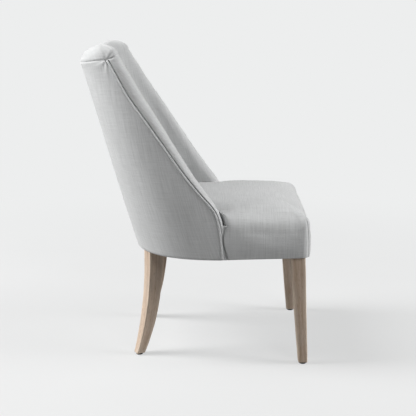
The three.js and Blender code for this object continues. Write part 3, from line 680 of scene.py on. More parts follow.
def padRow(level, turn=None):
    # One ring of the pad as two halves of equal length, both from the tip of the wing's
    # roll to the middle: first round the outside, then round the inside
    sizes = padSizes
    roof = turn is not None
    flat = math.cos(turn) if roof else 1.0
    edge, groove, reach = rollTip(level)
    wing = sizes["wingThickness"]
    rear = mix(sizes["thicknessLow"], sizes["thicknessHigh"], level)
    # Over the roof the outside and the inside meet in the middle of the pad's thickness
    close = sizes["roofClose"]
    tip = mix(close, sizes["rollTip"], flat)
    seamY = edge - groove * flat
    tipY = edge - reach * flat
    rise = sizes["roofRise"][0][1] * math.sin(turn) if roof else 1.0
    radius = sizes["lipRadius"]
    sink = sizes["seamSink"] + radius * math.exp(-(rise / (radius * sizes["lipFade"])) ** 2)
    outerSide = wing * close - (wing * close - sink) * flat
    outerRear = rear * close - (rear * close - sink) * flat
    angles = quarterTurn(sizes["noseColumns"] + 1)
    # The roll's outer face runs nearly flat from the seam, then turns over its crest
    square = mix(1, sizes["rollSquare"], flat)
    noseDepth = mix(tip * wing, outerSide, np.sin(angles) ** square)
    noseY = mix(seamY, tipY, np.maximum(np.cos(angles), 0) ** square)
    noseX = widthAt(level, noseDepth, noseDepth * rear / wing, noseY)
    outer = [np.stack([noseX, noseY], axis=1)]
    columns = sizes["sideColumns"]
    if roof:
        path = planCurve(level, outerSide, outerRear, seamY)
        outer.append(alongCurve(path, evenShares(columns)[1:]))
    else:
        for deeper, back in sizes["lips"]:
            y, depth = seamY + radius * back, sink + radius * deeper
            outer.append([[float(widthAt(level, depth, depth, y)), y]])
        path = planCurve(level, sizes["hiddenDepth"], sizes["hiddenDepth"],
                         seamY + radius * sizes["lipEnd"])
        outer.append(alongCurve(path, evenShares(columns - len(sizes["lips"]) - 1)))
    insideShare = 1 - close * (1 - flat)
    deep = mix(tip, insideShare, np.sin(angles))
    insideY = tipY + sizes["rollInside"] * flat * (1 - np.cos(angles))
    inner = [np.stack([widthAt(level, deep * wing, deep * rear, insideY), insideY], axis=1)]
    path = planCurve(level, insideShare * wing, insideShare * rear, float(insideY[-1]))
    shares = evenShares(columns)[1:]
    lining = alongCurve(path, shares)
    crown = sizes["crown"] * math.sin(math.pi * min(level, 1)) * flat
    push = crown * ease(shares, 0, sizes["crownFrom"]) * (1 - sizes["crownFall"] * shares)
    towards = np.stack([-lining[:, 0], -sizes["crownForward"] * lining[:, 1]], axis=1)
    towards /= np.linalg.norm(towards, axis=1)[:, None] + 1e-9
    lining = lining + towards * push[:, None]
    lining[-1, 0] = 0
    inner.append(lining)
    halves = []
    nose = sizes["noseColumns"]
    before, after = sizes["blendColumns"]
    outside = ease(np.arange(nose + columns + 1), nose - before, nose + after)
    for half, lowered in ((np.concatenate(outer), outside), (np.concatenate(inner), 0)):
        lift = smoothTable(sizes["roofRise"], backPlan["rearHigh"] - half[:, 1])
        height = seamHeight(level, half[:, 1])
        if roof:
            height += lift * math.sin(turn)
            height -= seamDrop(half[:, 1]) * lowered * (1 - math.sin(turn))
        halves.append(np.column_stack([half, height]))
    return halves


def buildBackPad():
    sizes = padSizes
    levels = np.linspace(levelAt(sizes["lowest"]), 1, sizes["rows"] + 1)[:-1]
    rows = [(level, None) for level in levels] + [(1.0, turn) for turn in roofTurns]
    points, threads, rub, held, seamGap = [], [], [], [], []
    nose = sizes["noseColumns"]
    for level, turn in rows:
        outer, inner = padRow(level, turn)
        points.append(ringOf(outer, inner, mirrored))
        up = level * sizes["threadRise"] + (turn or 0) * sizes["roofThreads"]
        innerLength = lengthsAlong(inner[::-1])[::-1]
        across = ringOf(innerLength[0] + lengthsAlong(outer), innerLength, np.negative)
        threads.append(np.stack([np.full_like(across, up), across, across * 0], axis=1))
        place = np.arange(len(outer))
        fromSeam = np.abs(lengthsAlong(outer) - lengthsAlong(outer)[nose])
        # The crest values are a painted highlight: lighter cloth along the roll's crest and over
        # the roof's ridge, where light would catch it
        if turn is None:
            hidden = place > nose
            crest = bump(place, 1, nose * sizes["crestWidth"])
        else:
            hidden = np.full(len(outer), turn < roofTurns[1])
            crest = bump(turn, *sizes["roofCrest"]) + place * 0
            fromTop = sizes["roofRise"][0][1] * math.sin(turn)
            fromSeam = np.where(place > nose, fromTop, np.hypot(fromSeam, fromTop))
        held.append(ringOf(hidden, np.full(len(inner), level < levels[3])))
        rub.append(ringOf(crest, crest))
        seamGap.append(ringOf(fromSeam, np.ones(len(inner))))
    count = len(points[0])
    faces = [tuple(face) for face in gridFaces(len(rows), count, closed=True)]
    # The bottom is closed by strips between the outside and the inside of the ring
    for step in range(2 * (nose + sizes["sideColumns"])):
        corners = [step, step + 1, (count - step - 1) % count, (count - step) % count]
        corners = list(dict.fromkeys(corners))
        if len(corners) > 2:
            faces.append(tuple(corners))
    piece = makePiece("innerBackPad", inPlace(np.concatenate(points)), faces, linen, weld=0.0002,
                      threads=np.concatenate(threads), rub=np.concatenate(rub),
                      held=np.concatenate(held).astype(float),
                      seamGap=np.concatenate(seamGap))
    mesh = piece.data
    puffUp(piece, **sizes["swelling"])
    points, normals = pointsOf(mesh), normalsOf(mesh)
    gap = fieldOf(mesh, "seamGap")
    across, up = sizes["puckerSlant"]
    along = points[:, 2] * up + points[:, 0] * across
    pucker = unevenness(along, sizes["puckerSpacing"], 3) * np.exp(-gap / sizes["puckerReach"])
    pucker *= -sizes["puckerDepth"]
    free = fieldOf(mesh, "held") < 0.5
    fold = cornerFolds(points, sizes["cornerFold"]) * free
    movePoints(mesh, points + normals * (pucker + fold)[:, None])
    dropFields(mesh, "held", "seamGap")
    subdivide(piece)
    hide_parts("inner_back_pad")


buildBackPad()
print("inside pad made")


# Outer cover of the back and wings: one sheet of linen pulled round the frame

coverSizes = {
    "rows": 100, "columns": 96, "easing": 1.6, "clothThickness": 0.0012,
    "sideLip": 0.0052, "sideLipWidth": 0.0026, "topLip": 0.0020, "topLipWidth": 0.0020,
    "edgeStart": 0.0004, "flange": (0.0044, 0.0022), "flangeDepth": 0.0056, "hemTurn": 0.004,
    "hem": [(0.3256, 0.030), (0.3252, 0.012), (0.3216, 0.010), (0.3168, 0.0075)],
    "topRows": [0.011, 0.0075, 0.005, 0.0034, 0.0022, 0.0013, 0.0006, 0],
    "shelf": [(0.0006, 0.0036), (0.0012, 0.0056)], "plainBelow": 0.015,
    "puckerSpacing": 0.023, "puckerDepth": 0.0005, "puckerReach": 0.011, "cornerFold": 0.0013,
    "slack": 0.0007, "slackWaves": (23, 4), "hemLip": 0.6, "seamBlend": 0.94,
    "wearAndHighlight": 0.8, "wearAt": (0.006, 0.006),
}


def coverRows(low, spanHeight):
    # Rows as level, depth and height: hem, turned lower edge, wall, lip and shelf
    sizes, hemTurn = coverSizes, coverSizes["hemTurn"]
    rows = [(0.0, reach, height) for height, reach in sizes["hem"]]
    rows += [(0.0, hemTurn * math.sin(turn), low + hemTurn * (1 - math.cos(turn)))
             for turn in np.radians([90, 60, 30])]
    rows += [(float(level), 0.0, None) for level in np.linspace(
        hemTurn / spanHeight, 1 - sizes["plainBelow"] / spanHeight, sizes["rows"])]
    rows += [(1 - drop / spanHeight,
              sizes["topLip"] * math.exp(-(drop / sizes["topLipWidth"]) ** 2), None)
             for drop in sizes["topRows"]]
    return rows + [(1 + rise / spanHeight, depth, None) for rise, depth in sizes["shelf"]]


def buildOuterCover():
    sizes = coverSizes
    low, spanHeight = backPlan["lowerEdge"], backPlan["seamRear"] - backPlan["lowerEdge"]
    rows = coverRows(low, spanHeight)
    shares = evenShares(sizes["columns"]) ** sizes["easing"]
    points, threads, rub = [], [], []
    for level, depth, height in rows:
        edge = float(wingEdge(level)) + sizes["edgeStart"]
        path = planCurve(level, 0, 0, edge)
        whole = lengthsAlong(path)[-1]
        line = alongCurve(path, shares)
        distance = shares * whole
        tangent = unitVectors(np.gradient(line, axis=0))
        inward = np.stack([-tangent[:, 1], tangent[:, 0]], axis=1)
        inward[-1] = [0, -1]
        lip = sizes["sideLip"] * bump(distance, 0, sizes["sideLipWidth"])
        up = level * spanHeight
        pucker = unevenness(np.full_like(distance, up), sizes["puckerSpacing"], 5)
        pucker *= sizes["puckerDepth"] * np.exp(-distance / sizes["puckerReach"])
        wave = distance * sizes["slackWaves"][0] + level * sizes["slackWaves"][1]
        slack = sizes["slack"] * math.sin(math.pi * level) * np.sin(wave)
        total = depth + lip * (1 if height is None else sizes["hemLip"]) + pucker + slack
        line = line + inward * total[:, None]
        line[-1, 0] = 0
        drop = seamDrop(line[:, 1]) * ease(level, sizes["seamBlend"], 1)
        z = seamHeight(level, line[:, 1]) - drop
        z = z if height is None else np.full(len(line), height)
        # In front of the piping's seam a flange of the cloth runs on under the inside pad
        ahead = np.array(sizes["flange"])
        flange = widthAt(level, sizes["flangeDepth"], sizes["flangeDepth"], edge - ahead)
        flange = np.column_stack([flange - (0 if height is None else depth), edge - ahead])
        line = np.concatenate([flange, line])
        z = np.concatenate([z[[0, 0]], z])
        distance = np.concatenate([-ahead, distance])
        half = np.column_stack([line, z])
        points.append(bothSides(half, mirrored))
        across = bothSides(whole - distance, np.negative)
        # Below the lower edge the cloth runs on under the frame, and so do its threads
        extra = 0.0 if height is None else depth
        threads.append(np.stack([np.full_like(across, up - extra), across, across * 0], axis=1))
        rub.append(bothSides(sizes["wearAndHighlight"] * bump(distance, *sizes["wearAt"])))
    count = len(points[0])
    piece = makePiece("outerBackCover", inPlace(np.concatenate(points)),
                      gridFaces(len(rows), count), linen,
                      threads=np.concatenate(threads), rub=np.concatenate(rub))
    mesh = piece.data
    # Half way up the rows and round the back, the cover faces the rear
    faceTowards(mesh, (0, 1, 0), (len(rows) // 2) * (count - 1) + count // 2)
    points, normals = pointsOf(mesh), normalsOf(mesh)
    movePoints(mesh, points + normals * cornerFolds(points, sizes["cornerFold"])[:, None])
    thicken(piece, sizes["clothThickness"])
    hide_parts("outer_back_cover")


buildOuterCover()
print("outer cover made")


# Piping along each wing's front edge

pipingSizes = {
    "radius": 0.0028, "sink": 0.0006, "bottom": 0.004, "top": 0.986, "samples": 400,
    "rings": 260, "sides": 16, "swell": 0.00022, "swellSpacing": 0.017, "wearAndHighlight": 0.7,
    "endSink": 1.6, "endShift": 0.002, "endRound": (0.35, 3),
}


def buildPiping(side, sign):
    sizes = pipingSizes
    rings = sizes["rings"]
    levels = np.linspace(sizes["bottom"], sizes["top"], sizes["samples"])
    y = wingEdge(levels)
    x = widthAt(levels, sizes["sink"], sizes["sink"], y)
    line = np.column_stack([x, y, seamHeight(levels, y)])
    line = alongCurve(line, evenShares(rings - 1))
    # The upper end bends in under the seam
    number = np.arange(rings)
    line[:, 0] -= ease(number, rings - 5, rings - 1) * sizes["radius"] * sizes["endSink"]
    line[:, 1] += ease(number, rings - 9, rings) * sizes["endShift"]
    along = lengthsAlong(line)
    tangent = unitVectors(np.gradient(line, axis=0))
    sideways = unitVectors(np.cross(tangent, [1, 0, 0]))
    out = np.cross(sideways, tangent)
    swell = sizes["swell"] * (unevenness(along, sizes["swellSpacing"], 11 + sign) * 2 - 1)
    radius = sizes["radius"] + swell
    first, length = sizes["endRound"]
    ends = (np.minimum(number, number[::-1]) + first) / length
    radius *= np.sqrt(1 - (1 - np.clip(ends, 0, 1)) ** 2)
    points, threads = [], []
    for turn in np.linspace(0, 2 * math.pi, sizes["sides"], endpoint=False):
        points.append(line + radius[:, None] * (out * math.cos(turn) + sideways * math.sin(turn)))
        around = turn * sizes["radius"]
        # The strip over the cord is cut on the bias, so its threads cross at 45 degrees
        threads.append(np.column_stack([along + around, along - around, along * 0]) * 0.707)
    points = np.stack(points, axis=1).reshape(-1, 3)
    threads = np.stack(threads, axis=1).reshape(-1, 3)
    points[:, 0] *= sign
    piece = makePiece(f"piping{side.title()}", inPlace(points),
                      tubeFaces(rings, sizes["sides"]), linen, threads=threads,
                      rub=np.full(len(points), sizes["wearAndHighlight"]))
    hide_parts(f"piping_{side}")


for side, sign in leftAndRight:
    buildPiping(side, sign)
print("piping made")


# Seat: a crowned top, rounded edges and a cover that falls to the lower edge, where it
# turns in under the rails

seatSizes = {
    "lowerEdge": 0.321, "rearDip": 0.0052, "edgeHeight": 0.4485, "crownRise": 0.0105,
    "sideInset": 0.034, "sideDrop": 0.053, "frontInset": 0.042, "cornerInset": 0.035,
    "frontDrop": 0.040, "topHandle": 0.88, "sideHandle": 0.45, "frontBlend": 9,
    "lobeBlend": (0.4, 3.6), "rearBlend": (8, 18), "edgeLoops": 10, "wallLoops": 16,
    "frontEasing": 1.5, "rearEasing": 1.3, "sideEvenness": 0.45, "drawnFrom": -0.1,
    "wearAndHighlight": 0.8, "wearAt": (4, 3.5),
    "rearRound": 0.016, "frontBow": 0.003, "cornerRadius": 0.025, "sideSwell": 0.0018,
    "middle": -0.104, "foamBottom": 0.3957, "rearGap": 0.002, "notchRound": 0.004,
    "pleatAngle": 46, "pleatDepth": 0.0022, "pleatWidth": 0.0026, "pleatLap": 0.0003,
    "bottomRound": 0.004, "foamRound": 0.004, "pleatFade": (0.4465, 0.428, 0.3205, 0.327),
    "pleatLapAt": (0.0062, 0.004), "pinchPull": (-0.8, -0.4),
    "hem": [(0.0085, 0.3252), (0.012, 0.3258), (0.028, 0.3258), (0.028, 0.3264),
            (0.0064, 0.3266), (0.0056, 0.34)],
    "notch": [(0.321, -0.1015), (0.335, -0.098), (0.346, -0.0949), (0.36, -0.092),
              (0.372, -0.0902), (0.388, -0.0911), (0.407, -0.0951), (0.43, -0.0992),
              (0.449, -0.1028)],
    "pinchAt": (0.276, -0.091, 0.414), "pinchReach": (0.024, 0.013, 0.017),
    "pinchDepth": 0.008, "frontColumns": 48, "sideColumns": 56,
    "swelling": {"pressure": 4.0, "frames": 18, "reach": 0.012, "keep": 0.45},
}


def seatSideX(y):
    level = levelAt(seatSizes["lowerEdge"])
    return widthAt(level, 0, 0, np.minimum(y, backPlan["shoulderLow"]))


def arcPoints(centre, radius, start, end):
    turns = np.linspace(start, end, 20)
    return np.asarray(centre) + radius * np.column_stack([np.cos(turns), np.sin(turns)])


def seatHalfOutline(height, side):
    # Front, side and rear of one half of the seat's outline at a height. The front and
    # side are not yet drawn in. The rear begins where the side, drawn in by the amount
    # side, meets the wing's roll.
    sizes = seatSizes
    radius = sizes["cornerRadius"]
    cornerY = seatFront + sizes["frontBow"] + radius
    cornerX = float(seatSideX(cornerY)) - radius
    pleat = math.radians(-sizes["pleatAngle"])
    share = np.linspace(0, 1, 60)
    front = np.column_stack([share * cornerX, seatFront + sizes["frontBow"] * share ** 2])
    front = np.concatenate([front, arcPoints((cornerX, cornerY), radius, -math.pi / 2, pleat)[1:]])
    level = max(levelAt(height), levelAt(sizes["foamBottom"]))
    wing = padSizes["wingThickness"]
    thick = mix(padSizes["thicknessLow"], padSizes["thicknessHigh"], level)
    edge, _, reach = rollTip(level)
    angles = quarterTurn(12)
    deep = mix(padSizes["rollTip"], 1, np.sin(angles))
    y = edge - reach + padSizes["rollInside"] * (1 - np.cos(angles))
    y -= sizes["rearGap"] * np.cos(angles)
    depths = deep[:, None] * [wing, thick] + sizes["rearGap"] * np.sin(angles)[:, None]
    roll = np.column_stack([widthAt(level, depths[:, 0], depths[:, 1], y), y])
    inside = planCurve(level, wing + sizes["rearGap"], thick + sizes["rearGap"], float(y[-1]))
    notch = float(smoothTable(sizes["notch"], height))
    outside = np.array([float(seatSideX(notch)), notch])
    corner = mix(outside, roll[0], side / (outside[0] - roll[0, 0]))
    small = sizes["notchRound"]
    drawn = side / float(seatSideX(sizes["drawnFrom"]))
    turned = arcPoints(corner - small, small, 0, math.pi / 4)
    turned = (turned - drawn * np.array([0, sizes["middle"]])) / (1 - drawn)
    ys = np.linspace(cornerY, turned[0, 1], 80)
    flank = np.column_stack([seatSideX(ys), ys])
    flank = np.concatenate([arcPoints((cornerX, cornerY), radius, pleat, 0), flank[1:-1], turned])
    turned = arcPoints(corner - small, small, math.pi / 4, math.pi / 2)
    facing = np.linspace(turned[-1], roll[0], 12)
    rear = np.concatenate([turned, facing[1:], roll[1:], inside[1:]])
    return front, flank, rear


def seatLoop(inset, height):
    # Half of the outline, each point drawn in towards the middle by its inset
    sizes = seatSizes
    count, flankCount = sizes["frontColumns"], sizes["sideColumns"]
    front, flank, rear = seatHalfOutline(height, float(inset[count + flankCount]))
    shares, flankShares = evenShares(count), evenShares(flankCount)
    front = alongCurve(front, 1 - (1 - shares) ** sizes["frontEasing"])
    eased = 0.5 - 0.5 * np.cos(math.pi * flankShares)
    even = sizes["sideEvenness"]
    flank = alongCurve(flank, even * flankShares + (1 - even) * eased)
    rear = alongCurve(rear, shares ** sizes["rearEasing"])
    half = np.concatenate([front, flank[1:], rear[1:]])
    inward = (np.array([0, sizes["middle"]]) - half) / float(seatSideX(sizes["drawnFrom"]))
    half = half + inward * inset[:, None]
    half[[0, -1], 0] = 0
    return half


def seatLoopAt(inset, heights):
    # The outline at heights that change from column to column
    inset = np.broadcast_to(inset, heights.shape)
    low, high = np.round([heights.min(), heights.max()], 6)
    lowLine = seatLoop(inset, float(low))
    if low == high:
        return lowLine
    return mix(lowLine, seatLoop(inset, float(high)), ((heights - low) / (high - low))[:, None])


def patchInside(loop, columns, rows):
    # Fills a four sided loop with a grid, and says where the loop's points are in it
    bottom = loop[:columns + 1]
    right = loop[columns:columns + rows + 1]
    top = loop[columns + rows:2 * columns + rows + 1][::-1]
    left = np.concatenate([loop[2 * columns + rows:], loop[:1]])[::-1]
    u = evenShares(columns)[:, None, None]
    v = evenShares(rows)[None, :, None]
    grid = ((1 - v) * bottom[:, None] + v * top[:, None] + (1 - u) * left[None] + u * right[None]
            - (1 - u) * (1 - v) * bottom[0] - u * (1 - v) * bottom[-1]
            - (1 - u) * v * top[0] - u * v * top[-1])
    index = np.arange((columns + 1) * (rows + 1)).reshape(columns + 1, rows + 1)
    border = np.concatenate([index[:-1, 0], index[-1, :-1], index[:0:-1, -1], index[0, :0:-1]])
    return grid, index, border


def dome(columns, rows):
    # The places across a grid, and a dome over it that is 1 in the middle and 0 at its border
    u = evenShares(columns)[:, None]
    v = evenShares(rows)[None]
    return u, v, 16 * u * (1 - u) * v * (1 - v)


def pleatAndPinch(mesh):
    sizes = seatSizes
    points, normals = pointsOf(mesh), normalsOf(mesh)
    gap = fieldOf(mesh, "pleatGap")
    # Each front corner has a pleat, sewn shut, that runs out on the top
    above, top, below, bottom = sizes["pleatFade"]
    depth = ease(points[:, 2], above, top) * ease(points[:, 2], below, bottom)
    crease = -sizes["pleatDepth"] * bump(gap, 0, sizes["pleatWidth"])
    lap = sizes["pleatLap"] * bump(gap, *sizes["pleatLapAt"])
    # Where the side meets the wing's roll the cover is pulled in
    x, y, z = sizes["pinchAt"]
    pinch = np.column_stack([np.abs(points[:, 0]) - x, points[:, 1] - chairShift - y,
                             points[:, 2] - z])
    pinch = np.exp(-((pinch / sizes["pinchReach"]) ** 2).sum(axis=1))
    shift = normals * ((crease + lap) * depth)[:, None]
    inward, down = sizes["pinchPull"]
    pull = np.column_stack([inward * np.sign(points[:, 0]), pinch * 0, pinch * 0 + down])
    movePoints(mesh, points + shift + pull * sizes["pinchDepth"] * pinch[:, None])


def seatShape():
    # The crowned top as a grid, and the loops from its border down the sides, in under the
    # rails and up to the foam. The loops after the number free are held while it swells.
    sizes = seatSizes
    count, flankCount = sizes["frontColumns"], sizes["sideColumns"]
    halfCount = 2 * count + flankCount + 1
    place = np.arange(halfCount)
    # Past the notch the cover no longer falls to the lower edge: the wing is there. The
    # edge stays sharp along the wing's roll and is rounded along the pad.
    notchPlace = count + flankCount
    blend = sizes["frontBlend"]
    ahead = ease(place, count + blend, count - blend)
    lobe, rearward = (ease(place, notchPlace + sizes[key][0], notchPlace + sizes[key][1])
                      for key in ("lobeBlend", "rearBlend"))
    frontWide = mix(sizes["frontInset"], sizes["cornerInset"], ease(place / count, 0.5, 1))
    wide = np.where(place <= notchPlace, mix(sizes["sideInset"], frontWide, ahead),
                    sizes["rearRound"] * rearward)
    drop = mix(mix(sizes["sideDrop"], sizes["frontDrop"], ahead), sizes["rearRound"], rearward)
    lowEdge = sizes["lowerEdge"] - sizes["rearDip"] * np.clip((place - count) / flankCount, 0, 1)

    def loopAt(sideInset, rearInset, height):
        heights = np.broadcast_to(height, (halfCount,))
        inset = np.where(place <= notchPlace, sideInset, rearInset * rearward)
        half = np.column_stack([seatLoopAt(inset, heights), heights])
        return wholeLoop(half[:count + 1], half[count:notchPlace + 1], half[notchPlace:])

    columns, rows = 2 * count, flankCount
    top, index, border = patchInside(loopAt(wide, sizes["rearRound"], sizes["edgeHeight"]),
                                     columns, rows)
    top[..., 2] += sizes["crownRise"] * (1 - (1 - dome(columns, rows)[2]) ** 2)
    # The rounding round the top begins with the slope at which the crown ends
    inner = np.clip(np.stack(np.divmod(border, rows + 1), axis=1), 1, [columns - 1, rows - 1])
    step = top[inner[:, 0], inner[:, 1]] - top.reshape(-1, 3)[border]
    slope = np.arctan2(step[:, 2], np.hypot(step[:, 0], step[:, 1]))[count:count + halfCount]
    loops = []
    for share in evenShares(sizes["edgeLoops"]):
        early, late = 3 * (1 - share) ** 2 * share, 3 * (1 - share) * share ** 2
        reach = 1 - sizes["topHandle"] * np.cos(slope)
        level = early * sizes["topHandle"] * wide * np.sin(slope)
        level = level + late * drop * (1 - sizes["sideHandle"]) + share ** 3 * drop
        narrow = (1 - share) ** 3 + early * reach
        loops.append(loopAt(wide * narrow, sizes["rearRound"] * narrow,
                            sizes["edgeHeight"] - level))
    sideTop = sizes["edgeHeight"] - drop
    low = lowEdge + sizes["bottomRound"]
    foam = sizes["foamBottom"]
    for share in evenShares(sizes["wallLoops"])[1:]:
        swell = sizes["sideSwell"] * math.sin(math.pi * share)
        ends = mix(low, foam + sizes["foamRound"], lobe)
        loops.append(loopAt(-swell, 0, mix(sideTop, ends, share)))
    free = len(loops) - 2
    small = sizes["bottomRound"]
    for turn in np.radians([30, 60, 90]):
        ends = mix(low - small * math.sin(turn),
                   foam + sizes["foamRound"] * (1 - math.sin(turn)), lobe)
        loops.append(loopAt(small * (1 - math.cos(turn)), 0, ends))
    inmost = sizes["hem"][-1][0]
    for inset, height in ((0.0062, lowEdge + 0.0012), *sizes["hem"], (inmost, foam - 0.0004)):
        loops.append(loopAt(inset, inmost, mix(height, foam - 0.0002, lobe)))
    return top, index, border, loops, free


def buildSeat():
    sizes = seatSizes
    columns, rows = 2 * sizes["frontColumns"], sizes["sideColumns"]
    top, index, border, loops, free = seatShape()
    under, underIndex, underBorder = patchInside(loops[-1], columns, rows)
    size = top.shape[0] * top.shape[1]
    loopCount = len(loops[0])
    points = np.concatenate([top.reshape(-1, 3)] + loops[1:-1] + [under.reshape(-1, 3)])
    starts = [size + step * loopCount for step in range(len(loops) - 1)]
    underStart = starts.pop()
    chains = [border] + [start + np.arange(loopCount) for start in starts]
    chains.append(underStart + underBorder)
    faces = [tuple(face) for face in cellsOf(index)]
    faces += [tuple(face[::-1]) for face in cellsOf(underIndex) + underStart]
    for upper, lower in zip(chains[:-1], chains[1:]):
        quads = np.stack([upper, lower, np.roll(lower, -1), np.roll(upper, -1)], axis=1)
        faces += [tuple(face) for face in quads]
    # Threads run across the seat and down its sides. At the front they run on downwards.
    threads = points.copy()
    fall = np.zeros(loopCount)
    zone = np.zeros(loopCount)
    zone[columns:columns + rows] = 1
    zone[2 * columns + rows:] = -1
    direction = np.where(np.arange(loopCount) < columns, -1, 1)
    pleatGap = np.ones(len(points))
    fixed = np.zeros(len(points), bool)
    rub = np.zeros(len(points))
    first = loops[0]
    for order, (chain, loop) in enumerate(zip(chains, loops)):
        if order:
            fall = fall + np.linalg.norm(loop - loops[order - 1], axis=1)
        threads[chain, 0] = np.where(zone != 0, first[:, 0] + zone * fall, loop[:, 0])
        threads[chain, 1] = np.where(zone != 0, loop[:, 1], first[:, 1] + direction * fall)
        fixed[chain] = order > free
        rub[chain] = sizes["wearAndHighlight"] * bump(order, *sizes["wearAt"])
        around = lengthsAlong(np.concatenate([loop, loop[:1]]))
        for pleat in (around[0], around[columns], around[-1]):
            pleatGap[chain] = np.minimum(pleatGap[chain], np.abs(around[:-1] - pleat))
    fixed[underStart:] = True
    threads[:, 2] = 0
    piece = makePiece("seatCushion", inPlace(points), faces, linen, weld=0.0001,
                      threads=threads, rub=rub, held=fixed.astype(float), pleatGap=pleatGap)
    mesh = piece.data
    puffUp(piece, **sizes["swelling"])
    pleatAndPinch(mesh)
    dropFields(mesh, "held", "pleatGap")
    subdivide(piece)
    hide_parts("seat_cushion")


buildSeat()
print("seat made")


# Tucks: a strip of the inside wing cover that shows below the wing's roll, beside the
# piping, and turns in there

tuckSizes = {"front": [(0.315, -0.1003), (0.3235, -0.0981), (0.346, -0.0921), (0.36, -0.0892),
                       (0.372, -0.087), (0.416, -0.087)],
             "depth": 0.0016, "depthAtTop": 0.0026, "bottom": 0.3165, "top": 0.416,
             "turn": 0.0022, "under": 0.016, "thickness": 0.0008, "deepBetween": (0.366, 0.382),
             "overlap": 0.006, "ripple": 0.0003, "rippleWaves": (260, 90), "rows": 24,
             "turnPoints": 6, "wearAndHighlight": 0.5,
             "underShares": [0.03, 0.3, 0.65, 1], "underDepths": [0.0052, 0.0054, 0.0055, 0.0056]}


def buildTuck(side, sign):
    sizes = tuckSizes
    points = []
    count = sizes["turnPoints"]
    turn = quarterTurn(count)
    for height in np.linspace(sizes["bottom"], sizes["top"], sizes["rows"]):
        level = levelAt(height)
        front = float(smoothTable(sizes["front"], height))
        depth = mix(sizes["depth"], sizes["depthAtTop"], ease(height, *sizes["deepBetween"]))
        rear = float(wingEdge(level)) + sizes["overlap"]
        ys = np.concatenate([np.linspace(rear, front + sizes["turn"], count)[:-1],
                             front + sizes["turn"] * (1 - np.sin(turn)),
                             front - sizes["under"] * np.array(sizes["underShares"])])
        deep = np.concatenate([np.full(count - 1, depth),
                               depth + sizes["turn"] * (1 - np.cos(turn)), sizes["underDepths"]])
        upWave, backWave = sizes["rippleWaves"]
        deep = deep + sizes["ripple"] * np.sin(height * upWave + ys * backWave)
        x = widthAt(level, deep, deep, ys)
        points.append(np.column_stack([x * sign, ys, np.full_like(ys, height)]))
    across = np.tile(lengthsAlong(points[0]), sizes["rows"])
    faces = gridFaces(sizes["rows"], len(points[0]))
    points = np.concatenate(points)
    piece = makePiece(f"wingTuck{side.title()}", inPlace(points), faces, linen,
                      threads=np.column_stack([points[:, 2], across, across * 0]),
                      rub=np.full(len(points), sizes["wearAndHighlight"]))
    faceTowards(piece.data, (sign, 0, 0), 0)
    thicken(piece, sizes["thickness"])


for side, sign in leftAndRight:
    buildTuck(side, sign)
print("tucks made")


# Legs

legSizes = {
    "top": 0.388, "glideHeight": 0.005, "edge": 0.0028, "rings": 46, "cornerPoints": 5,
    "facePoints": 5, "unevenness": 0.00025, "straightFrom": 0.012, "straightEnd": 0.002,
    "footRise": [0, 0.0004, 0.0012, 0.0025], "footEased": [0.0016, 0.0007, 0.0002],
    "footWear": 0.006, "wearWave": (0.75, 0.25, 47), "grainShift": (0.31, 0.045, 0.7),
    "wobbles": [(1, 31, 2), (0.6, 83, -3)],
    "front": {"lower": 0.3207, "topHalf": 0.0220, "footHalf": 0.0134, "topX": 0.243,
              "topY": -0.304, "footX": 0.256, "footY": -0.324, "turn": 0},
    "rear": {"lower": 0.3147, "topHalf": 0.0210, "footHalf": 0.0131, "topX": 0.160,
             "topY": 0.1168, "turn": 28, "sweep": 0.0495, "sweepPower": 2.35,
             "taperPower": 2.35},
}


def legSection(end, height):
    # Middle and half width of a leg at a height
    leg = legSizes[end]
    share = np.clip((leg["lower"] - height) / (leg["lower"] - legSizes["glideHeight"]), 0, 1)
    if end == "front":
        return (mix(leg["topX"], leg["footX"], share), mix(leg["topY"], leg["footY"], share),
                mix(leg["topHalf"], leg["footHalf"], share))
    turn = math.radians(leg["turn"])
    sweep = leg["sweep"] * share ** leg["sweepPower"]
    return (leg["topX"] + sweep * math.sin(turn), leg["topY"] + sweep * math.cos(turn),
            mix(leg["topHalf"], leg["footHalf"], share ** leg["taperPower"]))


def roundedSquare(half, radius):
    # Outline with eased corners, and how much of the corner each point is
    points, corner, flat = [], [], half - radius
    for quarter in range(4):
        turn = turnedBy(quarter * math.pi / 2)
        for step in range(1, legSizes["facePoints"]):
            along = mix(-flat, flat, step / legSizes["facePoints"])
            points.append(turn @ [half, along])
            corner.append(0.0)
        for angle in quarterTurn(legSizes["cornerPoints"]):
            points.append(turn @ [flat + radius * math.cos(angle), flat + radius * math.sin(angle)])
            corner.append(1.0)
    return np.array(points), np.array(corner)


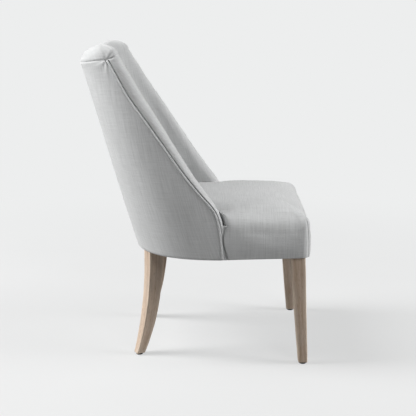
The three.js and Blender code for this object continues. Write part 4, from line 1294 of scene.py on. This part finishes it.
def buildLeg(end, side, sign, seed):
    sizes, leg = legSizes, legSizes[end]
    heights = np.concatenate([
        sizes["glideHeight"] + np.array(sizes["footRise"]),
        np.linspace(sizes["straightFrom"], leg["lower"] - sizes["straightEnd"], sizes["rings"]),
        [sizes["top"] - 0.001, sizes["top"]]])
    phases = np.random.default_rng(seed).uniform(0, 6.28, 6)
    spin = turnedBy(-math.radians(leg["turn"]))
    points, grain, rub = [], [], []
    for order, height in enumerate(heights):
        x, y, half = legSection(end, height)
        eased = sizes["footEased"][order] if order < len(sizes["footEased"]) else 0.0
        outline, corner = roundedSquare(half - eased, sizes["edge"])
        angle = np.arctan2(outline[:, 1], outline[:, 0])
        wobble = sizes["unevenness"] * sum(
            share * np.sin(height * up + phase + around * angle)
            for (share, up, around), phase in zip(sizes["wobbles"], phases))
        placed = (outline + unitVectors(outline) * wobble[:, None]) @ spin.T + [x, y]
        points.append(np.column_stack([placed, np.full(len(placed), height)]))
        # Growth rings lie to one side of the leg, so each face shows its own grain
        across, back, up = sizes["grainShift"]
        grain.append(np.column_stack([outline + [seed * across, back],
                                      np.full(len(outline), height + seed * up)]))
        low = math.exp(-(height - sizes["glideHeight"]) / sizes["footWear"])
        least, more, wave = sizes["wearWave"]
        wornAndHighlighted = least + more * math.sin(height * wave + phases[2])
        rub.append(np.maximum(corner, low) * wornAndHighlighted)
    count = len(points[0])
    points = np.concatenate(points)
    points[:, 0] *= sign
    piece = makePiece(f"leg{end.title()}{side.title()}", inPlace(points),
                      tubeFaces(len(heights), count), oak,
                      grain=np.concatenate(grain), rub=np.concatenate(rub))
    piece.data.set_sharp_from_angle(angle=math.radians(40))
    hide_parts(f"leg_{end}_{side}")


glideSizes = {"radius": 0.010, "height": 0.0048, "edge": 0.0015, "sides": 48,
              "nailRadius": 0.0016, "nailTop": 0.018}


def buildGlide(end, side, sign):
    sizes = glideSizes
    x, y, _ = legSection(end, legSizes["glideHeight"])
    radius, edge, height = sizes["radius"], sizes["edge"], sizes["height"]
    profile = [(radius * 0.3, 0), (radius * 0.6, 0), (radius - edge * 1.4, 0)]
    profile += [(radius - edge + edge * math.sin(a), edge - edge * math.cos(a))
                for a in np.radians([15, 35, 55, 75, 90])]
    profile += [(radius, height * 0.6), (radius * 0.985, height - 0.0006),
                (radius * 0.94, height - 0.0001), (radius * 0.9, height),
                (sizes["nailRadius"] * 1.5, height), (sizes["nailRadius"], height + 0.0003),
                (sizes["nailRadius"], sizes["nailTop"] - 0.003), (0.0004, sizes["nailTop"])]
    turns = np.linspace(0, 2 * math.pi, sizes["sides"], endpoint=False)
    points = np.concatenate([np.column_stack([
        x + r * np.cos(turns), y + r * np.sin(turns), np.full_like(turns, z)])
        for r, z in profile])
    points[:, 0] *= sign
    piece = makePiece(f"glide{end.title()}{side.title()}", inPlace(points),
                      tubeFaces(len(profile), sizes["sides"]), nylon)
    piece.data.set_sharp_from_angle(angle=math.radians(50))
    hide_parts(f"glide_{end}_{side}")


legs = [(end, side, sign) for end in ("front", "rear") for side, sign in leftAndRight]
for seed, leg in enumerate(legs, 1):
    buildLeg(*leg, seed)
    buildGlide(*leg)
print("legs and glides made")


# Dust cover under the seat, with its staples

dustSizes = {
    "height": 0.3254, "planHeight": 0.3255, "thickness": 0.0005, "inset": 0.0085, "front": -0.3245,
    "sag": 0.0022, "sagPower": 0.8, "columns": 60, "rows": 50, "hemFold": 0.0004,
    "hemShares": (0.03, 0.02), "rippleWaves": (31, 4, 23),
    "stapleInset": 0.013, "stapleSpacing": 0.038, "stapleCrown": 0.011, "stapleWire": 0.0011,
    "stapleTurn": 0.25, "stapleLegs": 0.006, "rearCorner": 0.62, "ripple": 0.0006,
}


def dustOutline(inset, samples=160):
    # Half of the outline under the rails, from the middle of the front to the rear's
    level = levelAt(dustSizes["planHeight"])
    path = planCurve(level, inset, inset, dustSizes["front"] + inset)
    share = np.linspace(0, 1, samples)
    return np.column_stack([share * path[0, 0], np.full(samples, path[0, 1])]), path


def buildDustCover():
    sizes = dustSizes
    front, path = dustOutline(sizes["inset"])
    half, rows = sizes["columns"] // 2, sizes["rows"]
    turn = sizes["rearCorner"]
    front = alongCurve(front, evenShares(half))
    flank = alongCurve(path, np.linspace(0, turn, rows + 1))
    rear = alongCurve(path, np.linspace(turn, 1, half + 1))
    loop = wholeLoop(front, flank, rear)
    loop = np.column_stack([loop, np.full(len(loop), sizes["height"])])
    grid, index, _ = patchInside(loop, 2 * half, rows)
    u, v, hang = dome(2 * half, rows)
    hang = hang ** sizes["sagPower"]
    first, second, third = sizes["rippleWaves"]
    ripple = sizes["ripple"] * np.sin(u * first + second * v) * np.sin(v * third) * (1 - hang)
    grid[..., 2] -= sizes["sag"] * hang + np.abs(ripple)
    edge = np.minimum(np.minimum(u, 1 - u), np.minimum(v, 1 - v))
    grid[..., 2] -= sizes["hemFold"] * ease(edge, *sizes["hemShares"])
    points = grid.reshape(-1, 3)
    piece = makePiece("dustCover", inPlace(points), cellsOf(index), lining)
    faceTowards(piece.data, (0, 0, -1))
    thicken(piece, sizes["thickness"])
    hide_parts("dust_cover")


def wireShape(name, crown, wire, sink):
    # A staple: a flat crown with two legs that go into the wood above it
    half, thin = crown / 2, wire / 2
    outline = [(-half, sink), (-half, thin), (-half + thin, 0), (half - thin, 0), (half, thin),
               (half, sink)]
    inner = [(-half + wire, sink), (-half + wire, wire + thin * 0.6), (-half + wire * 1.4, wire),
             (half - wire * 1.4, wire), (half - wire, wire + thin * 0.6), (half - wire, sink)]
    points = [(x, y, z) for y in (-thin, thin) for x, z in outline + inner]
    count = len(outline)
    faces = []
    for step in range(count - 1):
        a, b, c, d = step, step + 1, count + step + 1, count + step
        back = 2 * count
        faces += [(a, b, c, d), (a + back, d + back, c + back, b + back),
                  (a, a + back, b + back, b), (d, c, c + back, d + back)]
    faces += [(0, count, 3 * count, 2 * count),
              (count - 1, 3 * count - 1, 4 * count - 1, 2 * count - 1)]
    mesh = newMesh(name, points, faces)
    turnOutwards(mesh)
    return bpy.data.objects.new(name, mesh)


def rowOfShapesTree(name):
    # Geometry Nodes: places a shape along a line at a spacing, each turned a little
    tree = bpy.data.node_groups.new(name, "GeometryNodeTree")
    sockets = {}
    for label, kind in (("Geometry", "NodeSocketGeometry"), ("Shape", "NodeSocketObject"),
                        ("Spacing", "NodeSocketFloat"), ("Turn", "NodeSocketFloat"),
                        ("Seed", "NodeSocketInt"), ("Material", "NodeSocketMaterial")):
        sockets[label] = tree.interface.new_socket(label, in_out="INPUT", socket_type=kind)
    tree.interface.new_socket("Geometry", in_out="OUTPUT", socket_type="NodeSocketGeometry")
    given = addNode(tree, "NodeGroupInput").outputs
    curve = addNode(tree, "GeometryNodeMeshToCurve", {"Mesh": given["Geometry"]})
    spaced = addNode(tree, "GeometryNodeResampleCurve",
                     {"Curve": curve.outputs["Curve"], "Length": given["Spacing"]}, mode="LENGTH")
    shape = addNode(tree, "GeometryNodeObjectInfo", {"Object": given["Shape"]},
                    transform_space="ORIGINAL")
    along = addNode(tree, "GeometryNodeInputTangent")
    facing = addNode(tree, "FunctionNodeAlignRotationToVector",
                     {"Vector": along.outputs["Tangent"]}, axis="X", pivot_axis="Z")
    least = addNode(tree, "ShaderNodeMath", {0: given["Turn"], 1: -1.0}, operation="MULTIPLY")
    amount = addNode(tree, "FunctionNodeRandomValue",
                     {2: least.outputs["Value"], 3: given["Turn"], "Seed": given["Seed"]},
                     data_type="FLOAT")
    axis = addNode(tree, "FunctionNodeAxisAngleToRotation",
                   {"Axis": (0, 0, 1), "Angle": amount.outputs[1]})
    turned = addNode(tree, "FunctionNodeRotateRotation",
                     {"Rotation": facing.outputs["Rotation"],
                      "Rotate By": axis.outputs["Rotation"]})
    placed = addNode(tree, "GeometryNodeInstanceOnPoints",
                     {"Points": spaced.outputs["Curve"], "Instance": shape.outputs["Geometry"],
                      "Rotation": turned.outputs["Rotation"]})
    real = addNode(tree, "GeometryNodeRealizeInstances", {"Geometry": placed.outputs["Instances"]})
    painted = addNode(tree, "GeometryNodeSetMaterial",
                      {"Geometry": real.outputs["Geometry"], "Material": given["Material"]})
    addNode(tree, "NodeGroupOutput", {"Geometry": painted.outputs["Geometry"]})
    return tree, {label: socket.identifier for label, socket in sockets.items()}


rowOfShapes, rowSockets = rowOfShapesTree("rowOfShapes")


def buildRow(name, line, shape, spacing, turn, seed, material, closed=False):
    # Runs the tree along a line of points and keeps the result as a plain mesh
    edges = [(step, (step + 1) % len(line)) for step in range(len(line) - (not closed))]
    guide = addObject(name + "Line", newMesh(name + "Line", line, [], edges))
    modifier = guide.modifiers.new("row", "NODES")
    modifier.node_group = rowOfShapes
    for label, value in (("Shape", shape), ("Spacing", spacing), ("Turn", turn), ("Seed", seed),
                         ("Material", material)):
        modifier[rowSockets[label]] = value
    bpy.context.view_layer.update()
    evaluated = guide.evaluated_get(bpy.context.evaluated_depsgraph_get())
    made = bpy.data.meshes.new_from_object(evaluated)
    made.name = name
    guide.modifiers.remove(modifier)
    bpy.data.objects.remove(guide)
    piece = addObject(name, made)
    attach(piece, "root")
    return piece


buildDustCover()
front, path = dustOutline(dustSizes["stapleInset"])
staples = bothSides(np.concatenate([front, path[1:]]), mirrored)[:-1]
stapleHeight = dustSizes["height"] - dustSizes["hemFold"] - dustSizes["stapleWire"]
staples = np.column_stack([staples, np.full(len(staples), stapleHeight)])
stapleShape = wireShape("staple", dustSizes["stapleCrown"], dustSizes["stapleWire"],
                        dustSizes["stapleLegs"])
stapleRow = buildRow("dustCoverStaples", inPlace(staples), stapleShape,
                     dustSizes["stapleSpacing"], dustSizes["stapleTurn"], 4, steel, closed=True)
print("dust cover made, staple faces:", len(stapleRow.data.polygons))


# Webbing under the seat and across the back

webbingSizes = {"thickness": 0.0013, "weave": 0.0009, "crossing": 0.028, "step": 0.006,
                "lines": 9, "turns": 90, "smoothing": 6, "band": 0.75, "weld": 0.00005}


def layStrap(name, node, lines, facing):
    # A strap of lines that lie side by side. Its threads are the way along and the share across
    shares = np.linspace(-0.5, 0.5, len(lines))
    threads = [np.column_stack([along, along * 0 + share, along * 0])
               for share, (along, _) in zip(shares, lines)]
    piece = makePiece(name, np.concatenate([line for _, line in lines]),
                      gridFaces(len(lines), len(lines[0][1])), webbing,
                      threads=np.concatenate(threads),
                      rub=np.zeros(len(lines) * len(lines[0][1])))
    faceTowards(piece.data, facing)
    thicken(piece, webbingSizes["thickness"])
    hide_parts(node)


def buildSeatStraps():
    # The two ways of straps pass over and under each other
    sizes = webbingSizes
    longs = [f"seat_strap_long_{number}" for number in range(1, 5)]
    crosses = [f"seat_strap_cross_{number}" for number in range(1, 5)]
    boxes = {name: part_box(name) for name in longs + crosses}
    middle = {name: (low + high) / 2 for name, (low, high) in boxes.items()}
    for group, others, axis in ((longs, crosses, 1), (crosses, longs, 0)):
        for order, name in enumerate(group):
            low, high = boxes[name]
            across = 1 - axis
            length, width = float(high[axis] - low[axis]), high[across] - low[across]
            along = np.linspace(low[axis], high[axis], max(int(length / sizes["step"]), 8))
            level = sum(middle[other].z for other in others) / len(others)
            height = np.full_like(along, (level + middle[name].z) / 2)
            for crossing, other in enumerate(others):
                up = 1 if (order + crossing + axis) % 2 == 0 else -1
                height += up * sizes["weave"] * bump(along, middle[other][axis],
                                                     sizes["crossing"])
            lines = []
            for share in np.linspace(-0.5, 0.5, sizes["lines"]):
                line = np.zeros((len(along), 3))
                line[:, axis] = along
                line[:, across] = middle[name][across] + share * width
                line[:, 2] = height
                lines.append((along, line))
            layStrap("seatStrap" + name.split("_", 2)[2].title().replace("_", ""), name, lines,
                     (0, 0, 1))


def buildBackStraps():
    # Each follows the curve between the two posts, as its solid does
    sizes = webbingSizes
    for number in range(1, 4):
        name = f"back_strap_{number}"
        shape = bmesh.new()
        shape.from_mesh(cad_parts[name].data)
        bmesh.ops.remove_doubles(shape, verts=shape.verts, dist=sizes["weld"])
        solid = np.array([vertex.co for vertex in shape.verts])
        shape.free()
        low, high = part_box(name)
        angles = np.arctan2(solid[:, 0], solid[:, 1] - chairShift)
        turns = np.linspace(-angles.max(), angles.max(), sizes["turns"])
        order = np.argsort(angles)
        radius = np.hypot(solid[order, 0], solid[order, 1] - chairShift)
        lines, reach = [], sizes["smoothing"]
        for height in np.linspace(low.z, high.z, sizes["lines"]):
            near = np.abs(solid[order, 2] - height) < (high.z - low.z) * sizes["band"]
            distance = np.interp(turns, angles[order][near], radius[near])
            distance = np.convolve(np.pad(distance, reach, mode="edge"),
                                   np.ones(2 * reach + 1) / (2 * reach + 1), "valid")
            line = np.column_stack([distance * np.sin(turns),
                                    distance * np.cos(turns) + chairShift,
                                    np.full_like(turns, height)])
            lines.append((lengthsAlong(line), line))
        layStrap(f"backStrap{number}", name, lines, (0, -1, 0))


buildSeatStraps()
buildBackStraps()
print("webbing made")


# The wooden frame and its fixings are the CAD's own solids, with finished materials

for name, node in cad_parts.items():
    if node.hide_render:
        continue
    finish = steel if name.startswith(("leg_bolt", "leg_washer", "leg_nut")) else pine
    for slot in node.material_slots:
        slot.material = finish
print("frame nodes painted")


# Floor, light and camera

studio = {
    "floor": "#8c8c8c", "seen": "#c9c9c9", "floorSize": 30.0, "fade": (0.7, 2.4, 0.6, 1.0),
    "clouds": ((0.4, 0.4, 0.4), 2, 0.5), "cloudSpread": (0.3, 0.7, 0.0, 0.03),
    "paint": {"Roughness": 0.7, "Specular IOR Level": 0.2},
    "world": 0.02, "background": "#edeeee", "aim": (0, 0, 0.5), "distance": 6.0,
    "lamps": {
        "rearLight": {"power": 312, "size": 2.7, "towards": (0, 0.8, 0.6)},
        "rearLowLight": {"power": 124, "size": 2.7, "towards": (0, 1, 0.15)},
        "topLight": {"power": 172, "size": 2.7, "towards": (0, 0.5, 0.86)},
        "sideLight": {"power": 63, "size": 2.7, "towards": (-0.7, -0.3, 0.6)},
        "frontLight": {"power": 306, "size": 2.7, "towards": (-0.11, -0.9, 0.37)},
    },
}


def buildFloor():
    # A plain floor that takes the chair's shadow. To the camera it is paler, and further
    # out it runs into the background's tone, so that no horizon shows.
    size = studio["floorSize"]
    corners = [(-size, -size, 0), (size, -size, 0), (size, size, 0), (-size, size, 0)]
    mesh = newMesh("studioFloor", corners, [(0, 1, 2, 3)])
    material, tree = newMaterial("paintedFloor")
    seen = addNode(tree, "ShaderNodeLightPath").outputs["Is Camera Ray"]
    body = objectPlace(tree)
    clouds = stretchedNoise(tree, body, *studio["clouds"])
    colour = blendColours(tree, seen, studio["floor"], studio["seen"])
    clouds = spreadOut(tree, clouds, *studio["cloudSpread"])
    colour = blendColours(tree, clouds, colour, "#ffffff")
    painted = addNode(tree, "ShaderNodeBsdfPrincipled", {"Base Color": colour, **studio["paint"]})
    glow = addNode(tree, "ShaderNodeEmission", {"Color": linearColour(studio["background"])})
    distance = addNode(tree, "ShaderNodeVectorMath", {0: body}, operation="LENGTH")
    far = spreadOut(tree, distance.outputs["Value"], *studio["fade"])
    both = addNode(tree, "ShaderNodeMixShader", {
        0: calculate(tree, "MULTIPLY", far, seen), 1: painted.outputs["BSDF"],
        2: glow.outputs["Emission"]})
    addNode(tree, "ShaderNodeOutputMaterial", {"Surface": both.outputs["Shader"]})
    mesh.materials.append(material)
    floor = addObject("studioFloor", mesh)


def addLamp(name, power, size, towards):
    lamp = bpy.data.lights.new(name, "AREA")
    lamp.energy = power
    lamp.shape = "DISK"
    lamp.size = size
    holder = addObject(name, lamp)
    towards = Vector(towards).normalized()
    holder.location = Vector(studio["aim"]) + towards * studio["distance"]
    holder.rotation_euler = (-towards).to_track_quat("-Z", "Y").to_euler()


def lightScene():
    scene = bpy.context.scene
    world = bpy.data.worlds.new("studio")
    scene.world = world
    world.use_nodes = True
    tree = world.node_tree
    tree.nodes.clear()
    rays = addNode(tree, "ShaderNodeLightPath").outputs
    seen = calculate(tree, "MAXIMUM", rays["Is Camera Ray"], rays["Is Glossy Ray"])
    seen = calculate(tree, "MAXIMUM", seen, rays["Is Transmission Ray"])
    strength = calculate(tree, "ADD", calculate(tree, "MULTIPLY", seen, 1 - studio["world"]),
                         studio["world"])
    back = addNode(tree, "ShaderNodeBackground",
                   {"Color": linearColour(studio["background"]), "Strength": strength})
    addNode(tree, "ShaderNodeOutputWorld", {"Surface": back.outputs["Background"]})
    for name, sizes in studio["lamps"].items():
        addLamp(name, **sizes)
    scene.view_settings.view_transform = "Standard"


view = {"place": (-3.0105, -0.0703, 1.0447), "pitch": 11.9, "yaw": 0.5, "lens": 85.67,
        "sensor": 36}


def placeCamera():
    camera = bpy.data.cameras.new("camera")
    camera.lens = view["lens"]
    camera.sensor_width = view["sensor"]
    camera.clip_end = 100
    holder = addObject("camera", camera)
    pitch, yaw = math.radians(view["pitch"]), math.radians(view["yaw"])
    ahead = Vector((math.cos(yaw) * math.cos(pitch), math.sin(yaw) * math.cos(pitch),
                    -math.sin(pitch)))
    holder.location = inPlace(np.array(view["place"]))
    holder.rotation_euler = ahead.to_track_quat("-Z", "Y").to_euler()
    bpy.context.scene.camera = holder


buildFloor()
lightScene()
placeCamera()
print("floor, light and camera set")
